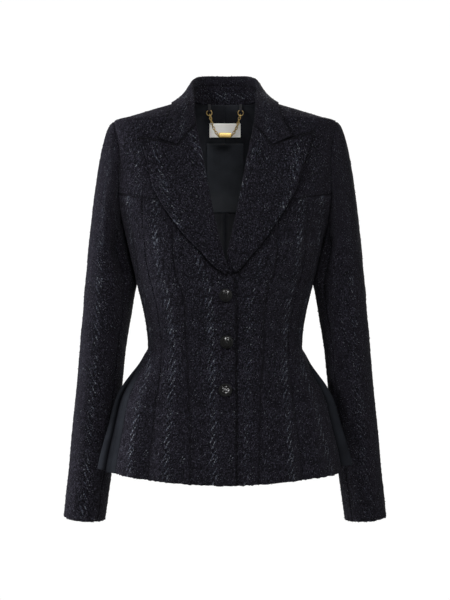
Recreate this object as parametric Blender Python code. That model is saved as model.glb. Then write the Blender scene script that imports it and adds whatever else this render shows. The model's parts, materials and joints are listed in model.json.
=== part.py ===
"""Fitted tweed blazer with peak lapels and a flared skirt, filled out and hollow.

Tables are in millimetres and meshes in metres. +Z is up, the front faces -Y and the
wearer's left is +X. The origin is on the body's axis, at the height of the neck seam.
Angles on the body run from the centre front (0) over the side (90) to the centre back (180).
"""
import math

import bpy
import numpy as np

MM = 0.001

# Walls of the cloth and the clearances between pieces
TWEED_WALL = 1.8
CREPE_WALL = 1.4
LINING_WALL = 1.0
LABEL_WALL = 1.0
LAPEL_WALL = 2.0
SEAM_GAP = 0.3
LINING_SET_IN = 2.2
LABEL_SET_IN = 1.8

# Heights of the main lines
WAIST = -387.0
HEM_FRONT = -593.0
HEM_SIDE = -581.0
HEM_AT_PRINCESS_UP = 1.5
HEM_AT_SIDE_FRONT_UP = 7.0
HEM_AT_BACK_SEAM_UP = 2.0
HEM_BACK = -589.0
NECK_POINT = 10.0

# The body's ring at each height: half width, depth to the front and back from its middle
SQUARENESS = 2.4
BODY_COLUMNS = ("half_width", "front", "back", "middle")
BODY_ROWS = (
    (12, 54, 38, 55, 0),
    (10, 58, 40, 57, 0),
    (0, 86, 52, 62, 0),
    (-10, 120, 58, 69, 0),
    (-20, 153, 63, 75, 0),
    (-27, 177, 66, 79, 0),
    (-60, 181, 76, 91, 0),
    (-100, 181, 87, 100, 0),
    (-142, 178, 99, 105, 0),
    (-180, 168, 110, 105, 0),
    (-215, 157, 118, 102, 0),
    (-245, 150, 121, 97, 0),
    (-288, 140, 117, 88, 0),
    (-330, 130, 106, 79, 0),
    (-365, 124.5, 96, 72, 0),
    (-387, 123, 92, 70, 0),
    (-400, 128.5, 92, 73, -1),
    (-414, 135, 94, 78, -2),
    (-434, 147, 98, 87, -4),
    (-451, 157, 101, 96, -6),
    (-470, 165, 105, 106, -8),
    (-515, 174, 112, 130, -13),
    (-573, 184, 120, 152, -19),
    (-600, 186, 123, 160, -21),
)

# Front edge of the yoke and centre front: neckline, roll line, break and lapped edge
EDGE_COLUMNS = ("reach",)
EDGE_ROWS = (
    (12, 54),
    (10, 58),
    (8, 56.3),
    (5, 54),
    (-6, 51),
    (-25, 48.5),
    (-40, 45.7),
    (-75, 38.8),
    (-110, 32.6),
    (-173, 20.2),
    (-228, 7.5),
    (-252, 0),
    (-270, -9),
    (-285, -16),
    (-300, -18.5),
    (-320, -19),
    (-620, -19),
)
EDGE_PULLED_BACK = 3.5
PULLED_BACK_TOP = 6.0
PULLED_BACK_TOP_FADE = 8.0
PULLED_BACK_END = -277.0
PULLED_BACK_END_FADE = 10.0
UNDERLAP = 2.5
UNDERLAP_REACH = 44.0
UNDERLAP_REACH_FADE = 22.0
UNDERLAP_TOP = -222.0
UNDERLAP_TOP_FADE = 26.0

# Front seams: reach from the centre front at each height
SEAM_COLUMNS = ("princess", "side_front")
SEAM_ROWS = (
    (-140, 83, 129),
    (-200, 81.5, 127),
    (-240, 80, 124),
    (-270, 76, 119),
    (-300, 66, 111),
    (-330, 61.5, 105),
    (-387, 60, 99),
    (-420, 57.5, 100),
    (-460, 55, 106),
    (-515, 53.5, 114),
    (-560, 52.5, 120),
    (-600, 51.5, 122),
)
YOKE_AT_EDGE = -166.0
YOKE_AT_PRINCESS = -161.0
YOKE_AT_SIDE_FRONT = -152.0
FLUTE_DEPTH = 7.0
FLUTE_WIDTH = 15.0
FLUTE_LENGTH = 190.0

# Back seam between centre back and side back, the neck over the back, and heights down its middle
BACK_SEAM_COLUMNS = ("reach",)
BACK_SEAM_ROWS = (
    (-145, 163),
    (-165, 138),
    (-190, 119),
    (-225, 100),
    (-270, 87),
    (-330, 74),
    (-387, 68),
    (-430, 71),
    (-500, 79),
    (-600, 86),
)
BACK_NECK = ((90, NECK_POINT), (120, 9.6), (150, 8.8), (180, 8.0))
BACK_HEIGHTS = (-24, -58, -92, -126)

# Armhole loop on the body: turn 0 at the shoulder, 90 in front, 180 under the arm
ARMHOLE_MIDDLE = -121.0
ARMHOLE_HALF_HEIGHT = 94.0
ARMHOLE_FRONT = 44.0
ARMHOLE_BACK = 52.0
TURN_STEP = 15
YOKE_TURN = 105
BACK_SEAM_TURN = 255
ARMHOLE_ROWS = 6
UNDERARM_HEIGHT = -224

# Row heights down the side seam below the arm, the pleated insert starts under the waist
SIDE_HEIGHTS = (-232, -252, -274, -297, -320, -343, -366, -387,
                -402, -416, -434, -456, -482, -512, -546, -581)
INSERT_APEX_SHARE = 0.35
INSERT_HEM = {"right": -581.0, "left": -574.0}

# Pleated insert by height: the angle of its front seam on each side, of its back seam, and its folds' depth
INSERT_COLUMNS = ("front_right", "front_left", "back", "fold")
INSERT_ROWS = (
    (-387, 90, 90, 90, 0.0),
    (-402, 85.5, 85.7, 93.5, 0.06),
    (-416, 75, 77.5, 99, 0.14),
    (-434, 68, 72.5, 104, 0.28),
    (-456, 65.5, 72, 106, 0.42),
    (-482, 64.5, 72.5, 108, 0.56),
    (-512, 64.5, 75, 109, 0.68),
    (-546, 64.5, 79, 109.5, 0.84),
    (-581, 64.5, 83, 110, 1.0),
    (-600, 64.5, 83, 110, 1.05),
)
PLEAT_COLUMNS = ("out_right", "out_left")
PLEAT_ROWS = (
    (0.00, 0, 0),
    (0.10, 3, 9),
    (0.19, 8, 18),
    (0.24, 7, 17),
    (0.30, -3, 8),
    (0.36, -9, -3),
    (0.42, -4, -8),
    (0.52, 12, -5),
    (0.57, 18, -2),
    (0.62, 14, 0),
    (0.70, -3, -1),
    (0.76, -8, -3),
    (0.84, -1, -2),
    (0.90, 3, 0),
    (1.00, 0, 0),
)

# Sleeve rings below the cap: centre, half width and half depth, and where its two seams run
SLEEVE_COLUMNS = ("centre_x", "centre_y", "half_width", "half_depth")
SLEEVE_ROWS = (
    (-235, 186.3, 14, 33.9, 60),
    (-265, 184, 20, 38.9, 60),
    (-282, 183.3, 22, 41.7, 59.5),
    (-297, 185.7, 23, 41.1, 58.5),
    (-330, 189.5, 25, 39.3, 57),
    (-366, 194.6, 27, 38.1, 55),
    (-400, 198.5, 30, 37, 53),
    (-448, 203.2, 35, 36.8, 51),
    (-528, 213.5, 44, 35.5, 49),
    (-594, 220, 48, 35, 47.5),
    (-630, 224.5, 48, 34.5, 47),
    (-665.5, 228.7, 47, 33.6, 46.5),
)
SLEEVE_FRONT_SEAM = 135
SLEEVE_BACK_SEAM = 240
CAP_ROWS = 6
CAP_EASE = 20.5
CAP_FRONT_EASE = 6.0
CAP_TOP_DROP = 3.0
CAP_UNDER_DROP = 0.3
CAP_ARRIVE_IN = 0.22
CAP_ARRIVE_UP = 0.41
CAP_SPREAD = 0.9
CUFF_FRONT_DROP = 1.0
CUFF_OUTER_RISE = 3.0
CUFF_SLANT_START = -560.0
CUFF_SLANT_LENGTH = 100.0
SLEEVE_CLEARANCE = 0.6

# Lapel: its roll line and outer edge from the break up to the gorge, with the two peaks
LAPEL_COLUMNS = ("roll_reach", "roll_height", "edge_reach", "edge_height_left", "edge_height_right")
LAPEL_ROWS = (
    (0.00, -9, -271, -4, -277, -277),
    (0.10, -1, -254, 16.8, -269, -262),
    (0.22, 7, -230, 37, -246, -237),
    (0.36, 13.2, -204, 57.5, -222, -216.5),
    (0.50, 19.5, -177, 78, -192, -190.5),
    (0.62, 25, -149, 98, -160, -160),
    (0.72, 30.5, -120, 109, -138, -138),
    (0.82, 36, -90, 115.5, -116, -116),
    (0.91, 41, -64, 121, -95, -95),
    (1.00, 45.7, -40, 134, -55, -55),
)
LAPEL_PEAK = {"right": (131, -59), "left": (137, -50)}
LAPEL_START = {"right": (0.05, 0.05), "left": (0.165, 0.095)}
LAPEL_STATIONS = (0.0, 0.1, 0.2, 0.32, 0.44, 0.56, 0.67, 0.77, 0.86, 0.94, 1.0)
PEAK_BEND_FROM = 0.72
ROLL_FULL_AT = 0.2
NOSE_FULL_LENGTH = 25.0
BELLY_FULL_LENGTH = 60.0
GORGE_END = (73, -72.5)
GORGE_SHARE = 0.36
GORGE_POINTS = 8
LAPEL_SHARES = (0.12, 0.24, 0.36, 0.52, 0.68, 0.84, 1.0)
LAPEL_NOSE = ((2.8, -3.6), (-0.6, -3.1), (-2.4, -0.5), (-1.3, 2.3), (2.0, 3.9))
LAPEL_FLAT = ((2.8, -2.0), (-0.4, -1.9), (-2.2, 0.3), (-1.2, 2.5), (2.0, 3.6))
LAPEL_LIFT = 3.9
LAPEL_BELLY = 2.5
LAPEL_EDGE_LIFT = 3.2

# Collar from the centre back to the gorge, as points: neck seam, stand seam inside, fold, belly, outer edge
COLLAR_ROWS = (
    ((0, 54.5, 9.5), (0, 54, 37), (0, 59.5, 54), (0, 70, 28), (0, 75, -10)),
    ((16, 53.3, 9.7), (17, 52.6, 37), (18, 57.8, 54), (21, 68.5, 28), (24, 73.5, -9.5)),
    ((32, 47, 10.3), (31, 46, 36), (34, 51, 53), (41, 60, 29), (47, 66, -8)),
    ((45, 33, 11), (42, 32, 33), (47, 35.5, 48.5), (57, 42, 28), (67, 48, -4)),
    ((53, 14, 12), (48, 13, 26), (53, 14.5, 39), (65.5, 18, 22), (80.5, 24, 0.5)),
    ((55, -8, 12), (49.5, -9, 17), (53.5, -10, 26.5), (68, -9, 15), (85, -4, 3)),
    ((53, -28, 9), (50, -30, 8), (51, -32, 14.5), (65.5, -35, 7), (84, -35, -3)),
    ((50, -50, -6), (50, -51, -10), (49.5, -54.5, -5), (67, -62, -16), (87.5, -62, -25)),
)
COLLAR_SHARES = (1.25, 1.5, 1.75, 2.0, 2.33, 2.67, 3.0)
COLLAR_FOLD = ((-3.0, -3.0), (0.0, 0.0), (3.2, -2.6))
COLLAR_END_SHARES = (0.153, 0.307, 0.46)
COLLAR_END_GAPS = (1.2, 2.4, 3.6)
COLLAR_STATIONS = 25
COLLAR_GAP = 0.8
COLLAR_CLEAR = 2.6
FALL_START = 4
CLOUD_ANGLES = (2, 180, 4)
CLOUD_HEIGHTS = (-70, 11, 2.5)
STAND_STATIONS = (4, 21)

# Lining and labels on the inside of the back: each label's top, bottom and half width
LINING_HEM_UP = 22.0
LINING_ROWS = (0, 1, 2, 3, 4, 5, 6, 7, 8, 9, 10, 11, 12, 14, 16, 18, 19, 20, 21, 22, 24, 26, 28)
LABEL_ROWS = {"label_white": (-18.8, -41.4, 25.5), "label_dark": (-52, -167, 30.5)}

# Chain hanger: a swinging loop of two rings, two chains and a plate on two sewn tabs
HANGER_REACH = 25.5
HANGER_Y = 47.5
HANGER_Z = -2.9
RING_RADIUS = 4.4
RING_WIRE = 0.8
RING_POINTS = 14
BAR_SIDES = 6
TAB_HALF_WIDTH = 2.0
TAB_HOLE = 1.7
TAB_WALL = 1.0
TAB_HEIGHT = 9.9
TAB_TOP_HALF_DEPTH = 2.6
TAB_POINTS = 16
TAB_TOP_POINTS = (0, 1, 15)
CHAIN_RADIUS = 1.5
CHAIN_POINTS = 7
CHAIN_TOP_IN = 1.2
CHAIN_END_OUT = 1.3
CHAIN_END_UP = 0.6
CHAIN_SAG = 1.5
CHAIN_TOP_DROP = 0.1
PLATE_HALF_WIDTH = 10.9
PLATE_HALF_HEIGHT = 4.2
PLATE_THICK = 1.8
PLATE_CORNER = 2.4
PLATE_POINTS = 16
PLATE_Z = -43.6

# Buttons: reach, height and seat on the front, and the turned profile as radius and height over the cloth
BUTTON_ROWS = {
    "button_top": (1, -304, 0.0),
    "button_middle": (2.5, -376, 1.0),
    "button_bottom": (0.5, -451, 0.0),
}
BUTTON_PROFILE = (
    (0, 0.4),
    (3.0, 0.4),
    (3.2, 1.5),
    (9.2, 1.7),
    (10.2, 2.5),
    (10.2, 3.6),
    (9.0, 5.0),
    (6.2, 6.5),
    (3.1, 7.3),
    (0, 7.6),
)
BUTTON_SIDES = 16

SIDES = {"right": -1, "left": 1}

# Colours of the materials: base colour, roughness, metal
MATERIALS = {
    "black_tweed": ((0.014, 0.014, 0.016, 1), 0.9, 0),
    "black_crepe": ((0.02, 0.022, 0.021, 1), 0.55, 0),
    "black_satin_lining": ((0.012, 0.012, 0.014, 1), 0.4, 0),
    "white_label_cloth": ((0.75, 0.75, 0.74, 1), 0.7, 0),
    "dark_label_cloth": ((0.02, 0.02, 0.022, 1), 0.5, 0),
    "black_tab_cloth": ((0.015, 0.015, 0.016, 1), 0.7, 0),
    "gold_metal": ((0.72, 0.52, 0.2, 1), 0.3, 1),
    "black_button": ((0.012, 0.012, 0.013, 1), 0.25, 0),
}


class Table:
    """Named columns read between their rows on a smooth curve that doesn't overshoot."""

    def __init__(self, names, rows):
        rows = sorted(rows)
        self.at = np.array([row[0] for row in rows], float)
        self.columns = {name: np.array([row[i + 1] for row in rows], float) for i, name in enumerate(names)}
        self.slopes = {name: self.slope(values) for name, values in self.columns.items()}

    def slope(self, values):
        rise = np.diff(values) / np.diff(self.at)
        first, second = rise[:-1], rise[1:]
        alike = first * second > 0
        total = np.where(alike, first + second, 1.0)
        inner = np.where(alike, 2 * first * second / total, 0.0)
        return np.concatenate([rise[:1], inner, rise[-1:]])

    def read(self, name, at):
        values, slopes = self.columns[name], self.slopes[name]
        i = int(np.clip(np.searchsorted(self.at, at) - 1, 0, len(self.at) - 2))
        step = self.at[i + 1] - self.at[i]
        t = min(max((at - self.at[i]) / step, 0.0), 1.0)
        start = values[i] * (1 + 2 * t) * (1 - t) ** 2 + slopes[i] * step * t * (1 - t) ** 2
        end = values[i + 1] * t * t * (3 - 2 * t) - slopes[i + 1] * step * t * t * (1 - t)
        return start + end


BODY = Table(BODY_COLUMNS, BODY_ROWS)
EDGE = Table(EDGE_COLUMNS, EDGE_ROWS)
SEAMS = Table(SEAM_COLUMNS, SEAM_ROWS)
BACK_SEAM = Table(BACK_SEAM_COLUMNS, BACK_SEAM_ROWS)
INSERT = Table(INSERT_COLUMNS, INSERT_ROWS)
PLEATS = Table(PLEAT_COLUMNS, PLEAT_ROWS)
SLEEVE = Table(SLEEVE_COLUMNS, SLEEVE_ROWS)
LAPEL = Table(LAPEL_COLUMNS, LAPEL_ROWS)


def ease(share):
    share = min(max(share, 0.0), 1.0)
    return share * share * (3 - 2 * share)


def through(points, at):
    """A point on the curve through a list of points, at a position counted in points."""
    points = np.asarray(points, float)
    i = int(min(max(math.floor(at), 0), len(points) - 2))
    t = at - i
    before = points[i - 1] if i > 0 else 2 * points[0] - points[1]
    after = points[i + 2] if i + 2 < len(points) else 2 * points[-1] - points[-2]
    a, b = points[i], points[i + 1]
    return 0.5 * (2 * a + (b - before) * t + (2 * before - 5 * a + 4 * b - after) * t * t
                  + (3 * a - before - 3 * b + after) * t ** 3)


def surface(angle, height):
    """A point of the body's outside on the wearer's left, angle in degrees."""
    turn = math.radians(angle)
    across, along = math.sin(turn), math.cos(turn)
    depth = BODY.read("front" if along > 0 else "back", height)
    x = BODY.read("half_width", height) * math.copysign(abs(across) ** (2 / SQUARENESS), across)
    y = BODY.read("middle", height) - depth * math.copysign(abs(along) ** (2 / SQUARENESS), along)
    return np.array([x, y, height])


def outward(angle, height):
    """The body's direction outward at a point."""
    over = surface(angle + 0.5, height) - surface(angle - 0.5, height)
    up = surface(angle, height + 0.5) - surface(angle, height - 0.5)
    normal = np.cross(over, up)
    return normal / np.linalg.norm(normal)


def angle_at_reach(reach, height, back=False):
    share = min(1.0, abs(reach) / BODY.read("half_width", height))
    angle = math.degrees(math.asin(share ** (SQUARENESS / 2)))
    angle = math.copysign(angle, reach)
    return 180 - angle if back else angle


def armhole(turn):
    """Angle and height on the body of a point of the armhole."""
    turn = math.radians(turn)
    height = ARMHOLE_MIDDLE + ARMHOLE_HALF_HEIGHT * math.cos(turn)
    y = -(ARMHOLE_FRONT if math.sin(turn) > 0 else ARMHOLE_BACK) * math.sin(turn)
    depth = BODY.read("front" if y < 0 else "back", height)
    angle = math.degrees(math.acos(min(1.0, abs(y) / depth) ** (SQUARENESS / 2)))
    return (angle, height) if y < 0 else (180 - angle, height)


def front_edge(height):
    """Reach of a front panel's free edge, drawn back under the roll of the lapel."""
    from_top = ease((PULLED_BACK_TOP - height) / PULLED_BACK_TOP_FADE)
    from_end = ease((height - PULLED_BACK_END) / PULLED_BACK_END_FADE)
    return EDGE.read("reach", height) + EDGE_PULLED_BACK * from_top * from_end


def seam_heights(top, hem):
    """Row heights down a seam, the same number of rows as the side seam has."""
    upper_rows = ARMHOLE_ROWS + SIDE_HEIGHTS.index(int(WAIST)) + 1
    lower = np.array(SIDE_HEIGHTS[SIDE_HEIGHTS.index(int(WAIST)) + 1:], float)
    lower = WAIST + (lower - WAIST) * (hem - WAIST) / (SIDE_HEIGHTS[-1] - WAIST)
    return np.concatenate([np.linspace(top, WAIST, upper_rows), lower])


def side_edge(column, first, last, step):
    """Armhole from one turn to the arm's underside, then the side seam and insert's seam."""
    edge = [armhole(turn) for turn in range(first, last + step, step)]
    heights = SIDE_HEIGHTS if len(edge) == ARMHOLE_ROWS else (UNDERARM_HEIGHT,) + SIDE_HEIGHTS
    return edge + [(INSERT.read(column, height), height) for height in heights]


def front_lines(side):
    """The four upright lines that bound the front panels below the yoke."""
    free = [(angle_at_reach(front_edge(h), h), h) for h in seam_heights(YOKE_AT_EDGE, HEM_FRONT)]
    princess = seam_heights(YOKE_AT_PRINCESS, HEM_FRONT + HEM_AT_PRINCESS_UP)
    princess = [(angle_at_reach(SEAMS.read("princess", h), h), h) for h in princess]
    side_front = seam_heights(YOKE_AT_SIDE_FRONT, HEM_FRONT + HEM_AT_SIDE_FRONT_UP)
    side_front = [(angle_at_reach(SEAMS.read("side_front", h), h), h) for h in side_front]
    edge = side_edge("front_" + side, YOKE_TURN, 180, TURN_STEP)
    return free, princess, side_front, edge


def back_lines():
    """Neck and centre back, the back seam with the armhole over it, and the side."""
    over_seam = [armhole(turn) for turn in range(360, BACK_SEAM_TURN - 1, -TURN_STEP)]
    lower = seam_heights(BACK_HEIGHTS[-1], HEM_BACK)[1:]
    centre = list(BACK_NECK) + [(180, h) for h in (*BACK_HEIGHTS, *lower)]
    seam = seam_heights(armhole(BACK_SEAM_TURN)[1], HEM_BACK + HEM_AT_BACK_SEAM_UP)[1:]
    seam = [(angle_at_reach(BACK_SEAM.read("reach", h), h, back=True), h) for h in seam]
    side = side_edge("back", BACK_SEAM_TURN - TURN_STEP, 180, -TURN_STEP)
    return centre, over_seam + seam, [armhole(BACK_SEAM_TURN)] + seam, side


def ruled(left, right, cells):
    """Rows of (angle, height) from one edge line to another."""
    rows = []
    for a, b in zip(left, right):
        a, b = np.array(a, float), np.array(b, float)
        rows.append([a + (b - a) * i / cells for i in range(cells + 1)])
    return rows


def front_lift(reach, height, side):
    """How far a front panel lies off the body: the soft fold at its side seam and the lap."""
    below = ease((WAIST - height) / FLUTE_LENGTH)
    off_seam = (reach - SEAMS.read("side_front", height)) / FLUTE_WIDTH
    lift = -FLUTE_DEPTH * below * math.exp(-off_seam * off_seam)
    if side == "left":
        under = ease((UNDERLAP_REACH - reach) / UNDERLAP_REACH_FADE)
        lift -= UNDERLAP * under * ease((UNDERLAP_TOP - height) / UNDERLAP_TOP_FADE)
    return lift


def on_body(rows, wall, lift=None):
    """Outer and inner points of a cloth wall on the body."""
    outer, inner = [], []
    for row in rows:
        points = [surface(*place) for place in row]
        normals = [outward(*place) for place in row]
        lifts = [lift(point[0], point[2]) if lift else 0.0 for point in points]
        outer.append([p + n * o for p, n, o in zip(points, normals, lifts)])
        inner.append([p + n * (o - wall) for p, n, o in zip(points, normals, lifts)])
    return np.array(outer), np.array(inner)


def trimmed(sheets, left=0.0, right=0.0, top=0.0, bottom=0.0):
    """The same sheets with their borders drawn in, in millimetres."""
    out = []
    for grid in sheets:
        grid = grid.copy()
        for amount, edge, near in ((left, 0, 1), (right, -1, -2)):
            way = grid[:, near] - grid[:, edge]
            grid[:, edge] += way / np.linalg.norm(way, axis=1, keepdims=True) * amount
        for amount, edge, near in ((top, 0, 1), (bottom, -1, -2)):
            way = grid[near] - grid[edge]
            grid[edge] += way / np.linalg.norm(way, axis=1, keepdims=True) * amount
        out.append(grid)
    return out


def normals_of(grid, around=False):
    """Directions across a grid of points, from its columns and rows."""
    if around:
        over = np.roll(grid, -1, axis=1) - np.roll(grid, 1, axis=1)
    else:
        over = np.gradient(grid, axis=1)
    normal = np.cross(over, np.gradient(grid, axis=0))
    return normal / np.linalg.norm(normal, axis=2, keepdims=True)


def make(name, points, faces, material, side=1):
    """One named closed solid, its faces turned outward."""
    points = np.array(points, float) * (side * MM, MM, MM)
    volume = 0.0
    for face in faces:
        for i in range(1, len(face) - 1):
            volume += np.dot(points[face[0]], np.cross(points[face[i]], points[face[i + 1]]))
    if volume < 0:
        faces = [face[::-1] for face in faces]
    mesh = bpy.data.meshes.new(name)
    mesh.from_pydata([tuple(p) for p in points], [], faces)
    mesh.materials.append(bpy.data.materials[material])
    thing = bpy.data.objects.new(name, mesh)
    bpy.context.scene.collection.objects.link(thing)
    return thing


def halves(points, a, b, c, d):
    """A four-sided cell cut in two so that neither half is turned over."""
    first = np.cross(points[b] - points[a], points[c] - points[a])
    second = np.cross(points[c] - points[a], points[d] - points[a])
    if np.dot(first, second) > 0:
        return (a, b, c), (a, c, d)
    return (a, b, d), (b, c, d)


def cloth(name, sheets, material, side=1):
    """A solid between an outer and an inner sheet of points."""
    outer, inner = sheets
    rows, columns = outer.shape[:2]
    count = rows * columns
    points = np.concatenate([outer.reshape(-1, 3), inner.reshape(-1, 3)])
    faces = []
    for r in range(rows - 1):
        for c in range(columns - 1):
            a = r * columns + c
            for face in halves(points, a, a + 1, a + columns + 1, a + columns):
                faces.append(face)
                faces.append(tuple(i + count for i in face[::-1]))
    border = [c for c in range(columns)]
    border += [r * columns + columns - 1 for r in range(1, rows)]
    border += [(rows - 1) * columns + c for c in range(columns - 2, -1, -1)]
    border += [r * columns for r in range(rows - 2, 0, -1)]
    for a, b in zip(border, border[1:] + border[:1]):
        faces.append((b, a, a + count, b + count))
    return make(name, points, faces, material, side)


def body_panels(side):
    sign = SIDES[side]
    half = SEAM_GAP / 2
    free, princess, side_front, edge = front_lines(side)

    def lift(reach, height):
        return front_lift(reach, height, side)

    pieces = (
        ("front_centre", free, princess, 4, 0, half),
        ("front_middle", princess, side_front, 3, half, half),
        ("front_side", side_front, edge, 4, half, half),
    )
    yoke_bottom = []
    for name, first, second, cells, gap_left, gap_right in pieces:
        rows = ruled(first, second, cells)
        yoke_bottom += rows[0][:-1]
        sheets = trimmed(on_body(rows, TWEED_WALL, lift), left=gap_left, right=gap_right, top=half)
        cloth(name + "_" + side, sheets, "black_tweed", sign)
    yoke_bottom.append(np.array(edge[0]))

    heights = (NECK_POINT, 8, 5, -6, -25, -60, -110, YOKE_AT_EDGE)
    neck = [(angle_at_reach(front_edge(h), h), h) for h in heights]
    arm = [armhole(turn) for turn in range(0, YOKE_TURN + 1, TURN_STEP)]
    first, last = yoke_bottom[0][0], yoke_bottom[-1][0]
    shares = [(place[0] - first) / (last - first) for place in yoke_bottom]
    rows = [[np.array(a) + (np.array(b) - a) * s for s in shares] for a, b in zip(neck, arm)]
    rows[-1] = yoke_bottom
    sheets = trimmed(on_body(rows, TWEED_WALL), top=half, bottom=half)
    cloth("yoke_front_" + side, sheets, "black_tweed", sign)

    centre, seam_over, seam, edge = back_lines()
    sheets = trimmed(on_body(ruled(centre, seam_over, 5), TWEED_WALL), left=half, right=half, top=half)
    cloth("back_centre_" + side, sheets, "black_tweed", sign)
    sheets = trimmed(on_body(ruled(seam, edge, 4), TWEED_WALL), left=half, right=half)
    cloth("back_side_" + side, sheets, "black_tweed", sign)


def side_insert(side):
    """Pleated insert let in at the side of the skirt."""
    heights = [h for h in SIDE_HEIGHTS[:-1] if h < WAIST] + [INSERT_HEM[side]]
    shares = [row[0] for row in PLEAT_ROWS]
    outer, inner = [], []
    for height in heights:
        first, last = INSERT.read("front_" + side, height), INSERT.read("back", height)
        depth = INSERT.read("fold", height)
        line = []
        for share in shares:
            angle = first + (last - first) * share
            fold = PLEATS.read("out_" + side, share) * depth
            line.append(surface(angle, height) + outward(angle, height) * fold)
        line = np.array(line)
        way = np.gradient(line, axis=0)
        way /= np.linalg.norm(way, axis=1, keepdims=True)
        across = np.cross(way, (0, 0, 1))
        across /= np.linalg.norm(across, axis=1, keepdims=True)
        across[0], across[-1] = outward(first, height), outward(last, height)
        outer.append(line)
        inner.append(line - across * CREPE_WALL)
    for sheet, wall in ((outer, 0.0), (inner, CREPE_WALL)):
        apex = surface(90, WAIST) - outward(90, WAIST) * wall
        first, last = [apex + (sheet[0][i] - apex) * INSERT_APEX_SHARE for i in (0, -1)]
        sheet.insert(0, np.array([first + (last - first) * share for share in shares]))
    sheets = trimmed((np.array(outer), np.array(inner)), left=SEAM_GAP / 2, right=SEAM_GAP / 2)
    cloth("side_insert_" + side, sheets, "black_crepe", SIDES[side])


def sleeve_grid():
    """Rows of points round the whole sleeve, from the armhole to the cuff."""
    turns = range(0, 360, TURN_STEP)
    top_ring = SLEEVE_ROWS[0]
    columns = []
    for turn in turns:
        angle = math.radians(turn)
        start = surface(*armhole(turn)) + (SLEEVE_CLEARANCE, 0, 0)
        end = sleeve_ring(angle, top_ring[0])
        fall = start[2] - end[2]
        out = CAP_EASE * (1 + math.cos(angle)) / 2
        drop = CAP_UNDER_DROP * fall * (1 - math.cos(angle)) / 2 + CAP_TOP_DROP
        leave = start + (out, -CAP_FRONT_EASE * math.sin(angle), -drop)
        arrive = end + (CAP_ARRIVE_IN * (start[0] - end[0]), 0, CAP_ARRIVE_UP * fall)
        points = []
        for i in range(CAP_ROWS):
            t = (i / CAP_ROWS) ** CAP_SPREAD
            early = start * (1 - t) ** 3 + leave * 3 * t * (1 - t) ** 2
            points.append(early + arrive * 3 * t * t * (1 - t) + end * t ** 3)
        points += [sleeve_ring(angle, row[0]) for row in SLEEVE_ROWS]
        columns.append(points)
    return np.array(columns).transpose(1, 0, 2)


def sleeve_ring(angle, height):
    x = SLEEVE.read("centre_x", height) + SLEEVE.read("half_width", height) * math.cos(angle)
    y = SLEEVE.read("centre_y", height) - SLEEVE.read("half_depth", height) * math.sin(angle)
    slant = CUFF_OUTER_RISE * math.cos(angle) - CUFF_FRONT_DROP * math.sin(angle)
    return np.array([x, y, height + slant * ease((CUFF_SLANT_START - height) / CUFF_SLANT_LENGTH)])


def sleeves(side):
    grid = sleeve_grid()
    inner = grid - normals_of(grid, around=True) * TWEED_WALL
    first, last = SLEEVE_FRONT_SEAM // TURN_STEP, SLEEVE_BACK_SEAM // TURN_STEP
    count = grid.shape[1]
    under = list(range(first, last + 1))
    top = [i % count for i in range(last, first + count + 1)]
    for name, columns in (("sleeve_under_", under), ("sleeve_top_", top)):
        sheets = trimmed((grid[:, columns], inner[:, columns]), left=SEAM_GAP / 2, right=SEAM_GAP / 2)
        cloth(name + side, sheets, "black_tweed", SIDES[side])


def lapel_row(station, side):
    """Points across a lapel at one station: round the roll, then over the chest to the edge."""
    at_roll, at_edge = [first + (1 - first) * station for first in LAPEL_START[side]]
    roll = np.array([LAPEL.read("roll_reach", at_roll), LAPEL.read("roll_height", at_roll)])
    edge = np.array([LAPEL.read("edge_reach", at_edge), LAPEL.read("edge_height_" + side, at_edge)])
    bent = ease((station - PEAK_BEND_FROM) / (1 - PEAK_BEND_FROM))
    peak = np.array(LAPEL_PEAK[side], float)
    edge = edge + (peak - LAPEL_ROWS[-1][3:5]) * bent
    gorge_start = np.array(LAPEL_ROWS[-1][1:3], float)
    dip = GORGE_END - (gorge_start + (peak - gorge_start) * GORGE_SHARE)
    base, normal = [], []
    for s in (0.0,) + LAPEL_SHARES:
        kink = s / GORGE_SHARE if s <= GORGE_SHARE else (1 - s) / (1 - GORGE_SHARE)
        reach, height = roll + (edge - roll) * s + dip * kink * bent
        angle = angle_at_reach(reach, height)
        normal.append(outward(angle, height))
        base.append(surface(angle, height) + normal[-1] * front_lift(reach, height, side))
    way = base[1] - base[0]
    way /= np.linalg.norm(way)
    length = np.linalg.norm(edge - roll)
    rolled = ease(station / ROLL_FULL_AT)
    row = []
    for flat, nose in zip(LAPEL_FLAT, LAPEL_NOSE):
        along, up = np.array(flat) + (np.array(nose) - flat) * rolled
        row.append(base[0] + way * along * min(1.0, length / NOSE_FULL_LENGTH) + normal[0] * up)
    for s, point, n in zip(LAPEL_SHARES, base[1:], normal[1:]):
        lift = row_lift(s, rolled, length)
        row.append(point + n * lift)
    return np.array(row)


def row_lift(share, rolled, length):
    """Height of a lapel over the chest across its width."""
    at_roll = LAPEL_FLAT[-1][1] + (LAPEL_LIFT - LAPEL_FLAT[-1][1]) * rolled
    belly = LAPEL_BELLY * math.sin(math.pi * share) * min(1.0, length / BELLY_FULL_LENGTH)
    return at_roll + (LAPEL_EDGE_LIFT - at_roll) * share + belly


def lapel(side):
    grid = np.array([lapel_row(station, side) for station in LAPEL_STATIONS])
    inner = grid - normals_of(grid) * LAPEL_WALL
    cloth("lapel_" + side, (grid, inner), "black_tweed", SIDES[side])
    return grid, inner


def body_cloud():
    """Points and outward directions all over the shoulders and upper chest."""
    places = [(a, h) for a in np.arange(*CLOUD_ANGLES) for h in np.arange(*CLOUD_HEIGHTS)]
    return np.array([surface(*p) for p in places]), np.array([outward(*p) for p in places])


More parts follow.
